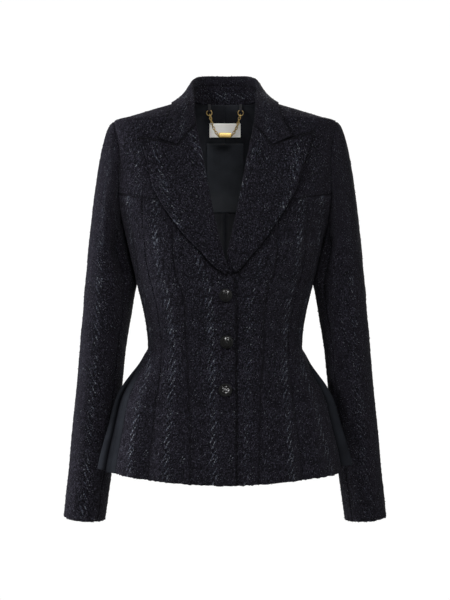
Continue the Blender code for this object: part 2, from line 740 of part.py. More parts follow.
def clear_of_body(point):
    """A collar point, moved out where it would lie too near the body."""
    mirror = np.array((math.copysign(1, point[0]), 1, 1))
    own = point * mirror
    nearest = int(np.argmin(np.sum((CLOUD[0] - own) ** 2, axis=1)))
    over = np.dot(own - CLOUD[0][nearest], CLOUD[1][nearest])
    return (own + CLOUD[1][nearest] * max(0.0, COLLAR_CLEAR - over)) * mirror


def collar_end(sheets, side):
    """The collar's front end, laid along the lapel's gorge and its upper edge."""
    up = sheets[0][-1] - sheets[0][-2]
    up /= np.linalg.norm(up, axis=1, keepdims=True)
    ends = []
    for grid in sheets:
        top = grid[-1]
        row = [top[i] + up[i] * COLLAR_GAP for i in range(GORGE_POINTS)]
        peak_edge = top[GORGE_POINTS - 1:]
        for share, gap in zip(COLLAR_END_SHARES, COLLAR_END_GAPS):
            row.append(through(peak_edge, share * (len(peak_edge) - 1)) + up[GORGE_POINTS - 1] * gap)
        ends.append(np.array(row) * (SIDES[side], 1, 1))
    return ends


def collar_section(inside, fold, belly, edge):
    """Points across the collar: up from the stand seam, over the fold and down to the edge."""
    inside, fold, belly, edge = [np.array(point, float) for point in (inside, fold, belly, edge)]
    out = (belly - inside) * (1, 1, 0)
    out /= np.linalg.norm(out)
    over = [fold + out * along + np.array((0, 0, up)) for along, up in COLLAR_FOLD]
    rest = [through((fold, over[-1], belly, edge), share) for share in COLLAR_SHARES]
    return np.array([inside] + over + rest)


def collar(sheets):
    """Fall of the collar over its fold, and the stand inside it."""
    mirror = np.array((-1, 1, 1))
    half = [collar_section(*row[1:]) for row in COLLAR_ROWS]
    ends = {side: collar_end(sheets[side], side) for side in SIDES}
    sections = [ends["right"][0]] + [section * mirror for section in half[:0:-1]] + half + [ends["left"][0]]
    stations = np.linspace(0, len(sections) - 1, COLLAR_STATIONS)
    fall = np.array([through(sections, at) for at in stations])
    for row in fall[1:-1]:
        row[FALL_START:] = [clear_of_body(point) for point in row[FALL_START:]]
    fall_inner = fall + normals_of(fall) * TWEED_WALL
    fall_inner[0], fall_inner[-1] = ends["right"][1], ends["left"][1]
    cloth("collar_fall", (fall, fall_inner), "black_tweed")

    seams = [np.array(row[0], float) for row in COLLAR_ROWS]
    seams = [point * mirror for point in seams[:0:-1]] + seams
    rows, gaps = [], []
    for i in range(*STAND_STATIONS):
        low, high = through(seams, stations[i] - 1), fall[i, 0]
        gaps.append((high - low) / np.linalg.norm(high - low) * COLLAR_GAP)
        high = high - gaps[-1]
        rows.append([low + (high - low) * share for share in (0, 0.5, 1)])
    stand = np.array(rows)
    stand_inner = stand + normals_of(stand) * TWEED_WALL
    stand_inner[:, -1] = fall_inner[slice(*STAND_STATIONS), 0] - np.array(gaps)
    cloth("collar_stand", (stand, stand_inner), "black_tweed")


def lining(side):
    """Half of the back's lining, hung inside the tweed from neck to hem."""
    centre, _, _, _ = back_lines()
    edge = [armhole(turn) for turn in range(360, 179, -TURN_STEP)]
    edge += [(INSERT.read("back", h), h) for h in SIDE_HEIGHTS]
    line = [centre[i] for i in LINING_ROWS]
    edge = [edge[i] for i in LINING_ROWS]
    line[-1] = (180, HEM_BACK + LINING_HEM_UP)
    edge[-1] = (edge[-1][0], HEM_SIDE + LINING_HEM_UP)
    set_in = TWEED_WALL + LINING_SET_IN

    def lift(reach, height):
        return -set_in

    sheets = on_body(ruled(line, edge, 5), LINING_WALL, lift)
    sheets = trimmed(sheets, left=SEAM_GAP / 2, right=2.5, top=1.0)
    cloth("lining_back_" + side, sheets, "black_satin_lining", SIDES[side])


def label(name, material):
    top, bottom, half_width = LABEL_ROWS[name]
    set_in = TWEED_WALL + LINING_SET_IN + LINING_WALL + LABEL_SET_IN
    rows = []
    for height in np.linspace(top, bottom, 4 if top - bottom < 50 else 7):
        first = angle_at_reach(half_width, height, back=True)
        rows.append([np.array((first + (360 - 2 * first) * i / 6, height)) for i in range(7)])

    def lift(reach, height):
        return -set_in

    cloth(name, on_body(rows, LABEL_WALL, lift), material)


def tube(points, radius, sides, closed):
    """Points and faces of a round bar along a line of points."""
    points = np.array(points, float)
    if closed:
        way = np.roll(points, -1, axis=0) - np.roll(points, 1, axis=0)
    else:
        way = np.gradient(points, axis=0)
    way /= np.linalg.norm(way, axis=1, keepdims=True)
    flat = np.array((0.0, 1.0, 0.0))
    verts = []
    for point, direction in zip(points, way):
        across = np.cross(direction, flat)
        for i in range(sides):
            turn = 2 * math.pi * i / sides
            verts.append(point + radius * (math.cos(turn) * flat + math.sin(turn) * across))
    faces = []
    count = len(points)
    for r in range(count if closed else count - 1):
        for i in range(sides):
            a, b = r * sides + i, r * sides + (i + 1) % sides
            step = ((r + 1) % count) * sides - r * sides
            faces.append((a, b, b + step, a + step))
    if not closed:
        faces.append(tuple(range(sides - 1, -1, -1)))
        faces.append(tuple((count - 1) * sides + i for i in range(sides)))
    return verts, faces


def hanger_tab(side):
    """Sewn tab with the hole that its ring swings in."""
    outline, hole = [], []
    reach = TAB_HOLE + TAB_WALL
    for i in range(TAB_POINTS):
        turn = math.pi / 2 + 2 * math.pi * i / TAB_POINTS
        y, z = math.cos(turn), math.sin(turn)
        top = i in TAB_TOP_POINTS
        outline.append((y * TAB_TOP_HALF_DEPTH, TAB_HEIGHT) if top else (y * reach, z * reach))
        hole.append((y * TAB_HOLE, z * TAB_HOLE))
    verts = []
    for x in (-TAB_HALF_WIDTH, TAB_HALF_WIDTH):
        verts += [(HANGER_REACH + x, HANGER_Y + y, HANGER_Z + z) for y, z in outline + hole]
    faces = []
    n = TAB_POINTS
    for i in range(n):
        j = (i + 1) % n
        faces.append((i, j, j + n, i + n))
        faces.append((i + 2 * n, i + 3 * n, j + 3 * n, j + 2 * n))
        faces.append((i, i + 2 * n, j + 2 * n, j))
        faces.append((i + n, j + n, j + 3 * n, i + 3 * n))
    make("hanger_tab_" + side, verts, faces, "black_tab_cloth", SIDES[side])


def hanger_ring(side):
    ring = []
    for i in range(RING_POINTS):
        turn = 2 * math.pi * (i + 0.5) / RING_POINTS
        x, z = RING_RADIUS * math.cos(turn), RING_RADIUS * math.sin(turn)
        ring.append((HANGER_REACH + x, HANGER_Y, HANGER_Z - RING_RADIUS + z))
    make("hanger_ring_" + side, *tube(ring, RING_WIRE, BAR_SIDES, True), "gold_metal", SIDES[side])


def hanger_chain(side):
    """A chain length as a round bar from its ring down to the plate, a little slack."""
    top = HANGER_Z - 2 * RING_RADIUS - RING_WIRE - CHAIN_TOP_DROP
    start = np.array((HANGER_REACH - CHAIN_TOP_IN, HANGER_Y, top))
    end = np.array((PLATE_HALF_WIDTH + CHAIN_END_OUT, HANGER_Y, PLATE_Z + CHAIN_END_UP))
    slack = np.array((CHAIN_SAG, 0, -CHAIN_SAG))
    shares = np.linspace(0, 1, CHAIN_POINTS)
    line = [start + (end - start) * t + slack * math.sin(math.pi * t) for t in shares]
    make("hanger_chain_" + side, *tube(line, CHAIN_RADIUS, BAR_SIDES, False), "gold_metal", SIDES[side])


def hanger_plate():
    outline = []
    n = PLATE_POINTS
    for i in range(n):
        turn = 2 * math.pi * (i + 0.5) / n
        x, z = math.cos(turn), math.sin(turn)
        across = math.copysign(PLATE_HALF_WIDTH - PLATE_CORNER, x) + PLATE_CORNER * x
        up = math.copysign(PLATE_HALF_HEIGHT - PLATE_CORNER, z) + PLATE_CORNER * z
        outline.append((across, PLATE_Z + up))
    verts = [(x, HANGER_Y + y, z) for y in (-PLATE_THICK / 2, PLATE_THICK / 2) for x, z in outline]
    faces = [(i, (i + 1) % n, (i + 1) % n + n, i + n) for i in range(n)]
    faces += [tuple(range(n - 1, -1, -1)), tuple(range(n, 2 * n))]
    make("hanger_plate", verts, faces, "gold_metal")


def button(name):
    reach, height, seat = BUTTON_ROWS[name]
    angle = angle_at_reach(reach, height)
    out = outward(angle, height)
    centre = surface(angle, height) + out * seat
    across = np.cross((0, 0, 1), out)
    across /= np.linalg.norm(across)
    up = np.cross(out, across)
    verts = [centre + out * BUTTON_PROFILE[0][1], centre + out * BUTTON_PROFILE[-1][1]]
    for radius, over in BUTTON_PROFILE[1:-1]:
        for i in range(BUTTON_SIDES):
            turn = 2 * math.pi * i / BUTTON_SIDES
            verts.append(centre + out * over + radius * (math.cos(turn) * across + math.sin(turn) * up))
    faces = []
    rings = len(BUTTON_PROFILE) - 2
    for i in range(BUTTON_SIDES):
        j = (i + 1) % BUTTON_SIDES
        faces.append((0, 2 + j, 2 + i))
        top = 2 + (rings - 1) * BUTTON_SIDES
        faces.append((1, top + i, top + j))
        for r in range(rings - 1):
            a, b = 2 + r * BUTTON_SIDES, 2 + (r + 1) * BUTTON_SIDES
            faces.append((a + i, a + j, b + j, b + i))
    make(name, verts, faces, "black_button")


def make_materials():
    for name, (colour, rough, metal) in MATERIALS.items():
        material = bpy.data.materials.new(name)
        material.use_nodes = True
        shader = material.node_tree.nodes["Principled BSDF"]
        shader.inputs["Base Color"].default_value = colour
        shader.inputs["Roughness"].default_value = rough
        shader.inputs["Metallic"].default_value = metal


def clear():
    for thing in list(bpy.data.objects):
        bpy.data.objects.remove(thing, do_unlink=True)


clear()
make_materials()
CLOUD = body_cloud()
lapels = {}
for side_name in SIDES:
    body_panels(side_name)
    side_insert(side_name)
    sleeves(side_name)
    lining(side_name)
    lapels[side_name] = lapel(side_name)
    hanger_tab(side_name)
    hanger_ring(side_name)
    hanger_chain(side_name)
collar(lapels)
label("label_white", "white_label_cloth")
label("label_dark", "dark_label_cloth")
hanger_plate()
for button_name in BUTTON_ROWS:
    button(button_name)
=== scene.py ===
"""Looks of a fitted black tweed blazer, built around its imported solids.

Tables are in millimetres and meshes in metres, in the solids' frame: +Z is up, the front faces -Y
and the wearer's left is +X. Angles on the body run from the centre front (0) over the side (90) to
the centre back (180). Turns round a sleeve run from the shoulder (0) over the front (90).
"""
import json
import math

import bpy
import numpy as np
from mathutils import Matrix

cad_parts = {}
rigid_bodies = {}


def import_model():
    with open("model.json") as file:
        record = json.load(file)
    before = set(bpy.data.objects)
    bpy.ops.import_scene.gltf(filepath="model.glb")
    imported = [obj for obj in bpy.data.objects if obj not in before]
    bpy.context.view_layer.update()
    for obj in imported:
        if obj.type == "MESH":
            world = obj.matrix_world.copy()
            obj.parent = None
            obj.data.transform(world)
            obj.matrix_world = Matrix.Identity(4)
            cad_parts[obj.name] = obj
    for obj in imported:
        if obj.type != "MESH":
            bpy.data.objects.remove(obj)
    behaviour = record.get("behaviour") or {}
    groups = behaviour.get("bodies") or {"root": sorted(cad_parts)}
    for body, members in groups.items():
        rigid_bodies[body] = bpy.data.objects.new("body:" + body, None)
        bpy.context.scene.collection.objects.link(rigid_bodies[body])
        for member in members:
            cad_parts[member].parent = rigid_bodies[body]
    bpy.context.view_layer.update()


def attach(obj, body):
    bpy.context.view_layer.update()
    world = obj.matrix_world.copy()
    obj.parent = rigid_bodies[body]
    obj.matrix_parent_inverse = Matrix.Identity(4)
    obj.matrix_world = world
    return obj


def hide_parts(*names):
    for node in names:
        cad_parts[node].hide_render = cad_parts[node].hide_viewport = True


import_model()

MM = 0.001
SIDES = {"right": -1, "left": 1}

# Seed of the random draws; a panel or button adds the letters of its own name to it
SEED = 7
SEED_STEP = 31

# Camera, as far from the body's axis as makes 1.6 mm of the jacket one pixel of a 450 by 600 frame
CAMERA_PLACE = (0.0, -2.6, -0.312)
CAMERA_LENS = 97.5
CAMERA_SENSOR = 36.0

# Stage, in metres: rings of a round floor, where it passes into the backdrop, and the backdrop's rows
FLOOR_Z = -1.1
FLOOR_RADIUS = 1.6
FLOOR_RINGS = (FLOOR_RADIUS, 1.0, 0.5, 0.01)
FLOOR_GLOW = (0.5, FLOOR_RADIUS * 0.96)
BACKDROP_RADIUS = 12.0
BACKDROP_RISES = (-1.57, 1.57, 48)
BACKDROP_DRIFT = 0.02
STAGE_POINTS = 96

# Light: the even light of the room, then panels with their place, the point that they face, their size in
# metres, their watts and whether glossy things mirror them
AIR_STRENGTH = 0.23
LIGHT_ROWS = (
    ("key", (-1.75, -2.0, 0.8), (0, 0, -0.3), (0.7, 0.7), 72, False),
    ("front", (0.35, -2.8, 1.35), (0, 0, -0.3), (1.0, 0.7), 55, True),
    ("side", (-2.3, 0.9, 0.0), (0, 0, -0.4), (0.9, 1.2), 250, False),
    ("low right", (1.6, -2.0, -0.9), (0, 0, -0.5), (0.6, 0.6), 3, False),
    ("glint", (0.9, -2.1, 0.6), (0, 0, -0.3), (0.26, 0.26), 10, True),
    ("low glint", (0.7, -2.2, -0.9), (0, 0, -0.3), (0.25, 0.25), 1.5, True),
    ("top", (-0.2, 0.7, 2.2), (0, 0, -0.2), (1.8, 1.4), 24, True),
    ("back", (0.6, 2.8, 0.8), (0, 0, -0.3), (2.0, 1.6), 70, True),
)

# Cloth: walls, clearances, the spacing of the points that its sheets are made of, a rim's roundness, the
# points that the way round the body is measured over, and what turns a point to the other side
TWEED_WALL = 1.8
CREPE_WALL = 1.4
LINING_WALL = 1.0
LABEL_WALL = 1.0
LAPEL_WALL = 2.6
SEAM_GAP = 0.3
LINING_SET_IN = 2.2
LABEL_SET_IN = 1.8
CELL = 2.6
FINE_CELL = 1.7
LINING_CELL = 4.0
LABEL_CELL = 1.5
EDGE_ROUND = 0.3
RING_STEPS = 9
MIRROR = np.array((-1, 1, 1))

# Finishes of a panel that is lined, and of one that shows tweed on both faces
LINED = ("boucle_tweed", "satin_lining")
FACED = ("boucle_tweed",)

# Columns that each panel's rows are first drawn in
PANEL_CELLS = {
    "front_centre": 4,
    "front_middle": 3,
    "front_side": 4,
    "back_centre": 5,
    "back_side": 4,
    "lining_back": 5,
}

# Seams: depth, width and painted shade (a share of black) of a full one, and the share of it that each sewn
# border has
SEAM_DIP = 1.0
SEAM_WIDTH = 1.9
SEAM_PAINTED_SHADE = 0.42
SEWN = {
    "front_centre": {"right": 1.1, "top": 1.4},
    "front_middle": {"left": 1.1, "right": 0.9, "top": 1.4},
    "front_side": {"left": 0.8, "right": 0.3, "top": 1.4},
    "yoke_front": {"top": 0.6, "bottom": 1.4, "right": 0.3},
    "back_centre": {"left": 1.0, "right": 0.5, "top": 0.6},
    "back_side": {"left": 1.0, "right": 0.4},
    "sleeve_top": {"left": 1.0, "right": 1.0, "top": 0.1},
    "sleeve_under": {"left": 1.0, "right": 1.0, "top": 0.1},
    "collar_fall": {"left": 0.5},
    "collar_stand": {"right": 0.5},
}

# Free borders with a painted line of shade along them: how wide it is, and its share of black
PAINTED_EDGE_WIDTH = 2.2
PAINTED_EDGE_SHADE = {
    "front_centre": {"left": 0.6},
    "lapel": {"right": 0.2, "bottom": 0.95},
    "collar_fall": {"right": 0.2, "top": 0.75, "bottom": 0.75},
}

# Soft shadows under an edge that lies over a panel: shares of black along it, and width
SHADOW_POINTS = 180
LAPEL_SHADOW = {"right": (1.0, 0.95, 0.55, 0.2), "left": (0.95, 0.8, 0.55, 0.3)}
LAPEL_SHADOW_WIDTH = 4.2
PEAK_SHADOW = (0.4, 0.75)
PEAK_SHADOW_WIDTH = 3.2
COLLAR_SHADOW = (0.5, 0.5)
COLLAR_SHADOW_WIDTH = 5.0
OVERLAP_SHADOW = (0.45, 0.45)
OVERLAP_SHADOW_WIDTH = 2.3
OVERLAP_REACH = 17.0
OVERLAP_POINTS = 160

# Yarn: nubs of the face, loops to a square metre with more along a free edge, and a hem's uneven line
NUB = 0.22
LOOPS = 4600.0
LOOP_RADIUS = 0.8
LOOP_YARN = 0.2
LOOP_POINTS = 4
LOOP_SIDES = 3
LOOP_CLOSES = 0.4
LOOP_LEAN = 0.9
LOOP_SIZES = (0.6, 1.4)
EDGE_LOOPS = 22.0
EDGE_LOOPS_WIDTH = 2.5
DARK_EDGE_LOOPS = 0.01
HEM_UNEVEN = 0.6
HEM_UNEVEN_REACH = 5.0
HEM_SMOOTHING = (0.2, 0.6, 0.2)

# Heights of the main lines
WAIST = -387.0
HEM_FRONT = -593.0
HEM_SIDE = -581.0
HEM_AT_PRINCESS_UP = 1.5
HEM_AT_SIDE_FRONT_UP = 7.0
HEM_AT_BACK_SEAM_UP = 2.0
HEM_BACK = -589.0
NECK_POINT = 10.0
SHOULDER_SLOPE_END = -60.0

# The body's ring at each height: half width, depth to the front and back from its middle
SQUARENESS = 2.4
BODY_COLUMNS = ("half_width", "front", "back", "middle")
BODY_ROWS = (
    (12, 54, 38, 55, 0),
    (10, 58, 40, 57, 0),
    (0, 86, 52, 62, 0),
    (-10, 120, 58, 69, 0),
    (-20, 153, 63, 75, 0),
    (-27, 177, 66, 79, 0),
    (-60, 181, 76, 91, 0),
    (-100, 181, 87, 100, 0),
    (-142, 178, 99, 105, 0),
    (-180, 168, 110, 105, 0),
    (-215, 157, 118, 102, 0),
    (-245, 150, 121, 97, 0),
    (-288, 140, 117, 88, 0),
    (-330, 130, 106, 79, 0),
    (-365, 124.5, 96, 72, 0),
    (-387, 123, 92, 70, 0),
    (-400, 128.5, 92, 73, -1),
    (-414, 135, 94, 78, -2),
    (-434, 147, 98, 87, -4),
    (-451, 157, 101, 96, -6),
    (-470, 165, 105, 106, -8),
    (-515, 174, 112, 130, -13),
    (-573, 184, 120, 152, -19),
    (-600, 186, 123, 160, -21),
)

# Front edge of the yoke and centre front: neckline, roll line, break and lapped edge
EDGE_ROWS = (
    (12, 54),
    (10, 58),
    (8, 56.3),
    (5, 54),
    (-6, 51),
    (-25, 48.5),
    (-40, 45.7),
    (-75, 38.8),
    (-110, 32.6),
    (-173, 20.2),
    (-228, 7.5),
    (-252, 0),
    (-270, -9),
    (-285, -16),
    (-300, -16.5),
    (-320, -17),
    (-620, -17),
)
EDGE_PULLED_BACK = 3.5
PULLED_BACK_TOP = 6.0
PULLED_BACK_TOP_FADE = 8.0
PULLED_BACK_END = -277.0
PULLED_BACK_END_FADE = 10.0
UNDERLAP = 3.4
UNDERLAP_REACH = 44.0
UNDERLAP_REACH_FADE = 22.0
UNDERLAP_TOP = -222.0
UNDERLAP_TOP_FADE = 26.0

# Front seams: reach from the centre front at each height
SEAM_COLUMNS = ("princess", "side_front")
SEAM_ROWS = (
    (-140, 83, 129),
    (-200, 81.5, 127),
    (-240, 80, 124),
    (-270, 76, 119),
    (-300, 66, 111),
    (-330, 61.5, 105),
    (-387, 60, 99),
    (-420, 57.5, 100),
    (-460, 55, 106),
    (-515, 53.5, 114),
    (-560, 52.5, 120),
    (-600, 51.5, 122),
)
YOKE_AT_EDGE = -166.0
YOKE_AT_PRINCESS = -161.0
YOKE_AT_SIDE_FRONT = -152.0
YOKE_HEIGHTS = (NECK_POINT, 8, 5, -6, -25, -60, -110, YOKE_AT_EDGE)
FLUTE_DEPTH = 7.0
FLUTE_WIDTH = 15.0
FLUTE_LENGTH = 190.0

# Back seam between centre back and side back, and the heights down the centre back over the seam
BACK_SEAM_ROWS = (
    (-145, 163),
    (-165, 138),
    (-190, 119),
    (-225, 100),
    (-270, 87),
    (-330, 74),
    (-387, 68),
    (-430, 71),
    (-500, 79),
    (-600, 86),
)
BACK_NECK = ((90, NECK_POINT), (120, 9.6), (150, 8.8), (180, 8.0))
BACK_HEIGHTS = (-24, -58, -92, -126)

# Armhole loop on the body: turn 0 at the shoulder, 90 in front, 180 under the arm
ARMHOLE_MIDDLE = -121.0
ARMHOLE_HALF_HEIGHT = 94.0
ARMHOLE_FRONT = 44.0
ARMHOLE_BACK = 52.0
TURN_STEP = 15
YOKE_TURN = 105
BACK_SEAM_TURN = 255
UNDERARM_TURN = 180
ARMHOLE_ROWS = 6
UNDERARM_HEIGHT = -224

# Row heights down the side seam below the arm
SIDE_HEIGHTS = (-232, -252, -274, -297, -320, -343, -366, -387,
                -402, -416, -434, -456, -482, -512, -546, -581)

# Pleated insert by height: angles of its front seam on each side and of its back seam, and its folds' depth
INSERT_COLUMNS = ("front_right", "front_left", "back", "fold")
INSERT_ROWS = (
    (-387, 90, 90, 90, 0.0),
    (-402, 85.5, 85.7, 93.5, 0.06),
    (-416, 75, 77.5, 99, 0.14),
    (-434, 68, 72.5, 104, 0.28),
    (-456, 65.5, 72, 106, 0.42),
    (-482, 64.5, 72.5, 108, 0.56),
    (-512, 64.5, 75, 109, 0.68),
    (-546, 64.5, 79, 109.5, 0.84),
    (-581, 64.5, 83, 110, 1.0),
    (-600, 64.5, 83, 110, 1.05),
)
INSERT_HEM = {"right": -581.0, "left": -574.0}
INSERT_TOP = -392.0
INSERT_POINTS_DOWN = 78
INSERT_POINTS_ACROSS = 92

# Pleats by their place across the insert: how far out each fold stands, and the share of black painted as
# shade in its valleys
PLEAT_COLUMNS = ("out_right", "out_left")
PLEAT_ROWS = (
    (0.00, 0, 0),
    (0.10, 3, 9),
    (0.19, 8, 18),
    (0.24, 7, 17),
    (0.30, -3, 8),
    (0.36, -9, -3),
    (0.42, -4, -8),
    (0.52, 12, -5),
    (0.57, 18, -2),
    (0.62, 14, 0),
    (0.70, -3, -1),
    (0.76, -8, -3),
    (0.84, -1, -2),
    (0.90, 3, 0),
    (1.00, 0, 0),
)
PLEAT_SHADE_COLUMNS = ("dark_right", "dark_left")
PLEAT_SHADE_ROWS = (
    (0.00, 0.10, 0.60),
    (0.04, 0.00, 0.30),
    (0.08, 0.00, 0.00),
    (0.14, 0.05, 0.00),
    (0.17, 0.50, 0.00),
    (0.21, 0.92, 0.10),
    (0.28, 0.97, 0.50),
    (0.42, 0.97, 0.95),
    (0.47, 0.95, 0.70),
    (0.495, 0.60, 0.55),
    (0.525, 0.05, 0.45),
    (0.61, 0.00, 0.30),
    (0.68, 0.60, 0.60),
    (0.76, 0.90, 0.90),
    (0.86, 0.40, 0.60),
    (1.00, 0.20, 0.30),
)
PLEAT_SHADE_RISE = 2.2

# Sleeve rings below the cap: centre, half width and half depth; its seams; the turn its rows are spaced on
SLEEVE_COLUMNS = ("centre_x", "centre_y", "half_width", "half_depth")
SLEEVE_ROWS = (
    (-235, 186.3, 14, 33.9, 60),
    (-265, 184, 20, 38.9, 60),
    (-282, 183.3, 22, 41.7, 59.5),
    (-297, 185.7, 23, 41.1, 58.5),
    (-330, 189.5, 25, 39.3, 57),
    (-366, 194.6, 27, 38.1, 55),
    (-400, 198.5, 30, 37, 53),
    (-448, 203.2, 35, 36.8, 51),
    (-528, 213.5, 44, 35.5, 49),
    (-594, 220, 48, 35, 47.5),
    (-630, 224.5, 48, 34.5, 47),
    (-665.5, 228.7, 47, 33.6, 46.5),
)
SLEEVE_FRONT_SEAM = 135
SLEEVE_BACK_SEAM = 240
SLEEVE_TURN_STEP = 3.7
SLEEVE_GAUGE_TURN = 75
SLEEVE_GAUGE_POINTS = 200
CAP_ROWS = 6
CAP_EASE = 20.5
CAP_FRONT_EASE = 6.0
CAP_TOP_DROP = 3.0
CAP_UNDER_DROP = 0.3
CAP_ARRIVE_IN = 0.22
CAP_ARRIVE_UP = 0.41
CAP_SPREAD = 0.9
CUFF_FRONT_DROP = 1.0
CUFF_OUTER_RISE = 3.0
CUFF_SLANT_START = -560.0
CUFF_SLANT_LENGTH = 100.0
SLEEVE_CLEARANCE = 0.2

# Lapel: its roll line and outer edge from the break up to the gorge, with the two peaks
LAPEL_COLUMNS = ("roll_reach", "roll_height", "edge_reach", "edge_height_left", "edge_height_right")
LAPEL_ROWS = (
    (0.00, -9, -271, -4, -277, -273),
    (0.10, -1, -254, 16.8, -269, -259),
    (0.22, 7, -230, 37, -246, -237),
    (0.36, 13.2, -204, 57.5, -222, -216.5),
    (0.50, 19.5, -177, 78, -192, -190.5),
    (0.62, 25, -149, 98, -160, -160),
    (0.72, 30.5, -120, 109, -138, -138),
    (0.82, 36, -90, 115.5, -116, -116),
    (0.91, 41, -64, 121, -95, -95),
    (1.00, 45.7, -40, 134, -55, -55),
)
LAPEL_PEAK = {"right": (131, -59), "left": (137, -50)}
LAPEL_START = {"right": (0.05, 0.01), "left": (0.165, 0.095)}
LAPEL_STATIONS = 90
PEAK_BEND_FROM = 0.72
ROLL_FULL_AT = 0.2
NOSE_FULL_LENGTH = 25.0
BELLY_FULL_LENGTH = 60.0
GORGE_END = (73, -72.5)
GORGE_SHARE = 0.36
GORGE_POINTS = 8
LAPEL_SHARES = (0.12, 0.24, 0.36, 0.52, 0.68, 0.84, 1.0)
GORGE_NEAR = 0.94
LAPEL_NOSE = ((2.8, -3.6), (-0.6, -3.1), (-2.4, -0.5), (-1.3, 2.3), (2.0, 3.9))
LAPEL_FLAT = ((2.8, -2.0), (-0.4, -1.9), (-2.2, 0.3), (-1.2, 2.5), (2.0, 3.6))
LAPEL_LIFT = 3.9
LAPEL_BELLY = 2.5
LAPEL_EDGE_LIFT = 6.2

# Collar from the centre back to the gorge, as points: neck seam, stand seam inside, fold, belly, outer edge
COLLAR_ROWS = (
    ((0, 54.5, 9.5), (0, 54, 37), (0, 59.5, 54), (0, 70, 28), (0, 75, -10)),
    ((16, 53.3, 9.7), (17, 52.6, 37), (18, 57.8, 54), (21, 68.5, 28), (24, 73.5, -9.5)),
    ((32, 47, 10.3), (31, 46, 36), (34, 51, 53), (41, 60, 29), (47, 66, -8)),
    ((45, 33, 11), (42, 32, 33), (47, 35.5, 48.5), (57, 42, 28), (67, 48, -4)),
    ((53, 14, 12), (48, 13, 26), (53, 14.5, 39), (65.5, 18, 22), (80.5, 24, 0.5)),
    ((55, -8, 12), (49.5, -9, 17), (53.5, -10, 26.5), (68, -9, 15), (85, -4, 3)),
    ((53, -28, 9), (50, -30, 8), (51, -32, 14.5), (65.5, -35, 7), (84, -35, -3)),
    ((50, -50, -6), (50, -51, -10), (49.5, -54.5, -5), (67, -62, -16), (87.5, -62, -25)),
)
COLLAR_SHARES = (1.25, 1.5, 1.75, 2.0, 2.33, 2.67, 3.0)
COLLAR_FOLD = ((-3.0, -3.0), (0.0, 0.0), (3.2, -2.6))
COLLAR_END_SHARES = (0.153, 0.307, 0.46)
COLLAR_END_GAPS = (1.2, 2.4, 3.6)
COLLAR_STATIONS = 25
COLLAR_GAP = 0.8
COLLAR_CLEAR = 2.6
FALL_START = 4
FALL_MIDDLE = 6
CLOUD_ANGLES = (2, 180, 4)
CLOUD_HEIGHTS = (-70, 11, 2.5)
STAND_STATIONS = (4, 21)
STAND_REACH = 0.17

# Lining on the inside of the back: how far over the hem it ends, and which of the back's rows it keeps
LINING_HEM_UP = 22.0
LINING_ROWS = (0, 1, 2, 3, 4, 5, 6, 7, 8, 9, 10, 11, 12, 14, 16, 18, 19, 20, 21, 22, 24, 26, 28)

# Labels by their top, bottom and half width, and the stitches that hold them
LABEL_ROWS = {"label_white": (-18.8, -41.4, 25.5), "label_dark": (-52, -167, 30.5)}
STITCH_PITCH = 2.2
STITCH_LENGTH = 1.6
STITCH_THREAD = 0.5

# Chain hanger: sewn tabs, rings, two chain lengths and a plate
HANGER_REACH = 25.5
HANGER_Y = 47.5
HANGER_Z = -2.9
RING_RADIUS = 4.4
RING_WIRE = 0.65
RING_POINTS = 48
RING_SIDES = 12
TAB_HALF_WIDTH = 2.0
TAB_HOLE = 1.7
TAB_WALL = 1.0
TAB_WALL_SHARE = 0.45
TAB_HEIGHT = 9.9
TAB_LEAN = 0.9
TAB_FOLD_TURNS = (60, -240)
TAB_FOLD_POINTS = 25
TAB_TAIL_NARROWS = (0.55, 0.5)
TAB_TAIL_HEIGHTS = (TAB_HEIGHT * 0.62, TAB_HEIGHT - 0.2)
TAB_POINTS_ACROSS = 7
CHAIN_POINTS = 40
CHAIN_SAG = 1.5
CHAIN_TOP_IN = 1.2
CHAIN_END_OUT = 1.3
CHAIN_END_UP = 0.6
CHAIN_TOP_DROP = 0.1
LINK_LENGTH = 7.0
LINK_WIDTH = 5.0
LINK_WIRE = 0.75
LINK_POINTS = 16
LINK_SIDES = 8
LINK_TWIST = 0.25
PLATE_HALF_WIDTH = 10.9
PLATE_HALF_HEIGHT = 4.2
PLATE_THICK = 1.8
PLATE_CORNER = 2.9
PLATE_LEAST_CORNER = 0.2
PLATE_POINTS = 64
PLATE_CROWN = (
    (-0.56, 3.4),
    (-0.55, 2.4),
    (-0.52, 1.5),
    (-0.46, 0.7),
    (-0.3, 0.12),
    (0.0, 0.0),
    (0.36, 0.12),
    (0.5, 0.55),
    (0.5, 1.2),
)
PLATE_Z = -43.6

# Buttons: reach, height and seat on the front, the turned profile as radius and height over the cloth, its
# hammered dents, and the radius where the polish ends
BUTTON_ROWS = {
    "button_top": (1, -304, 0.0),
    "button_middle": (2.5, -376, 1.0),
    "button_bottom": (0.5, -451, 0.0),
}
BUTTON_PROFILE = (
    (0, 0.4),
    (3.0, 0.4),
    (3.2, 1.5),
    (9.2, 1.7),
    (10.1, 2.4),
    (10.2, 3.2),
    (9.9, 3.9),
    (9.4, 4.4),
    (8.8, 5.0),
    (7.6, 5.9),
    (5.8, 6.8),
    (3.1, 7.4),
    (0, 7.6),
)
BUTTON_CELL = 0.45
BUTTON_POINTS = 72
BUTTON_CENTRE = 0.02
BUTTON_DENTS = 44
BUTTON_DENT_WIDTH = 1.35
BUTTON_DENT_DEPTH = 0.75
BUTTON_DENT_SPREAD = 8.8
BUTTON_DENT_REACH = 8.6
BUTTON_DENT_FROM = 4.4
BUTTON_DENT_FADE = 0.8
BUTTON_DULL_FROM = 7.4
BUTTON_DULL_WIDTH = 1.8
BUTTON_DULL = 0.85

# Edges of metal and buttons that turn by more than this stay sharp
SHARP_ANGLE = math.radians(50)

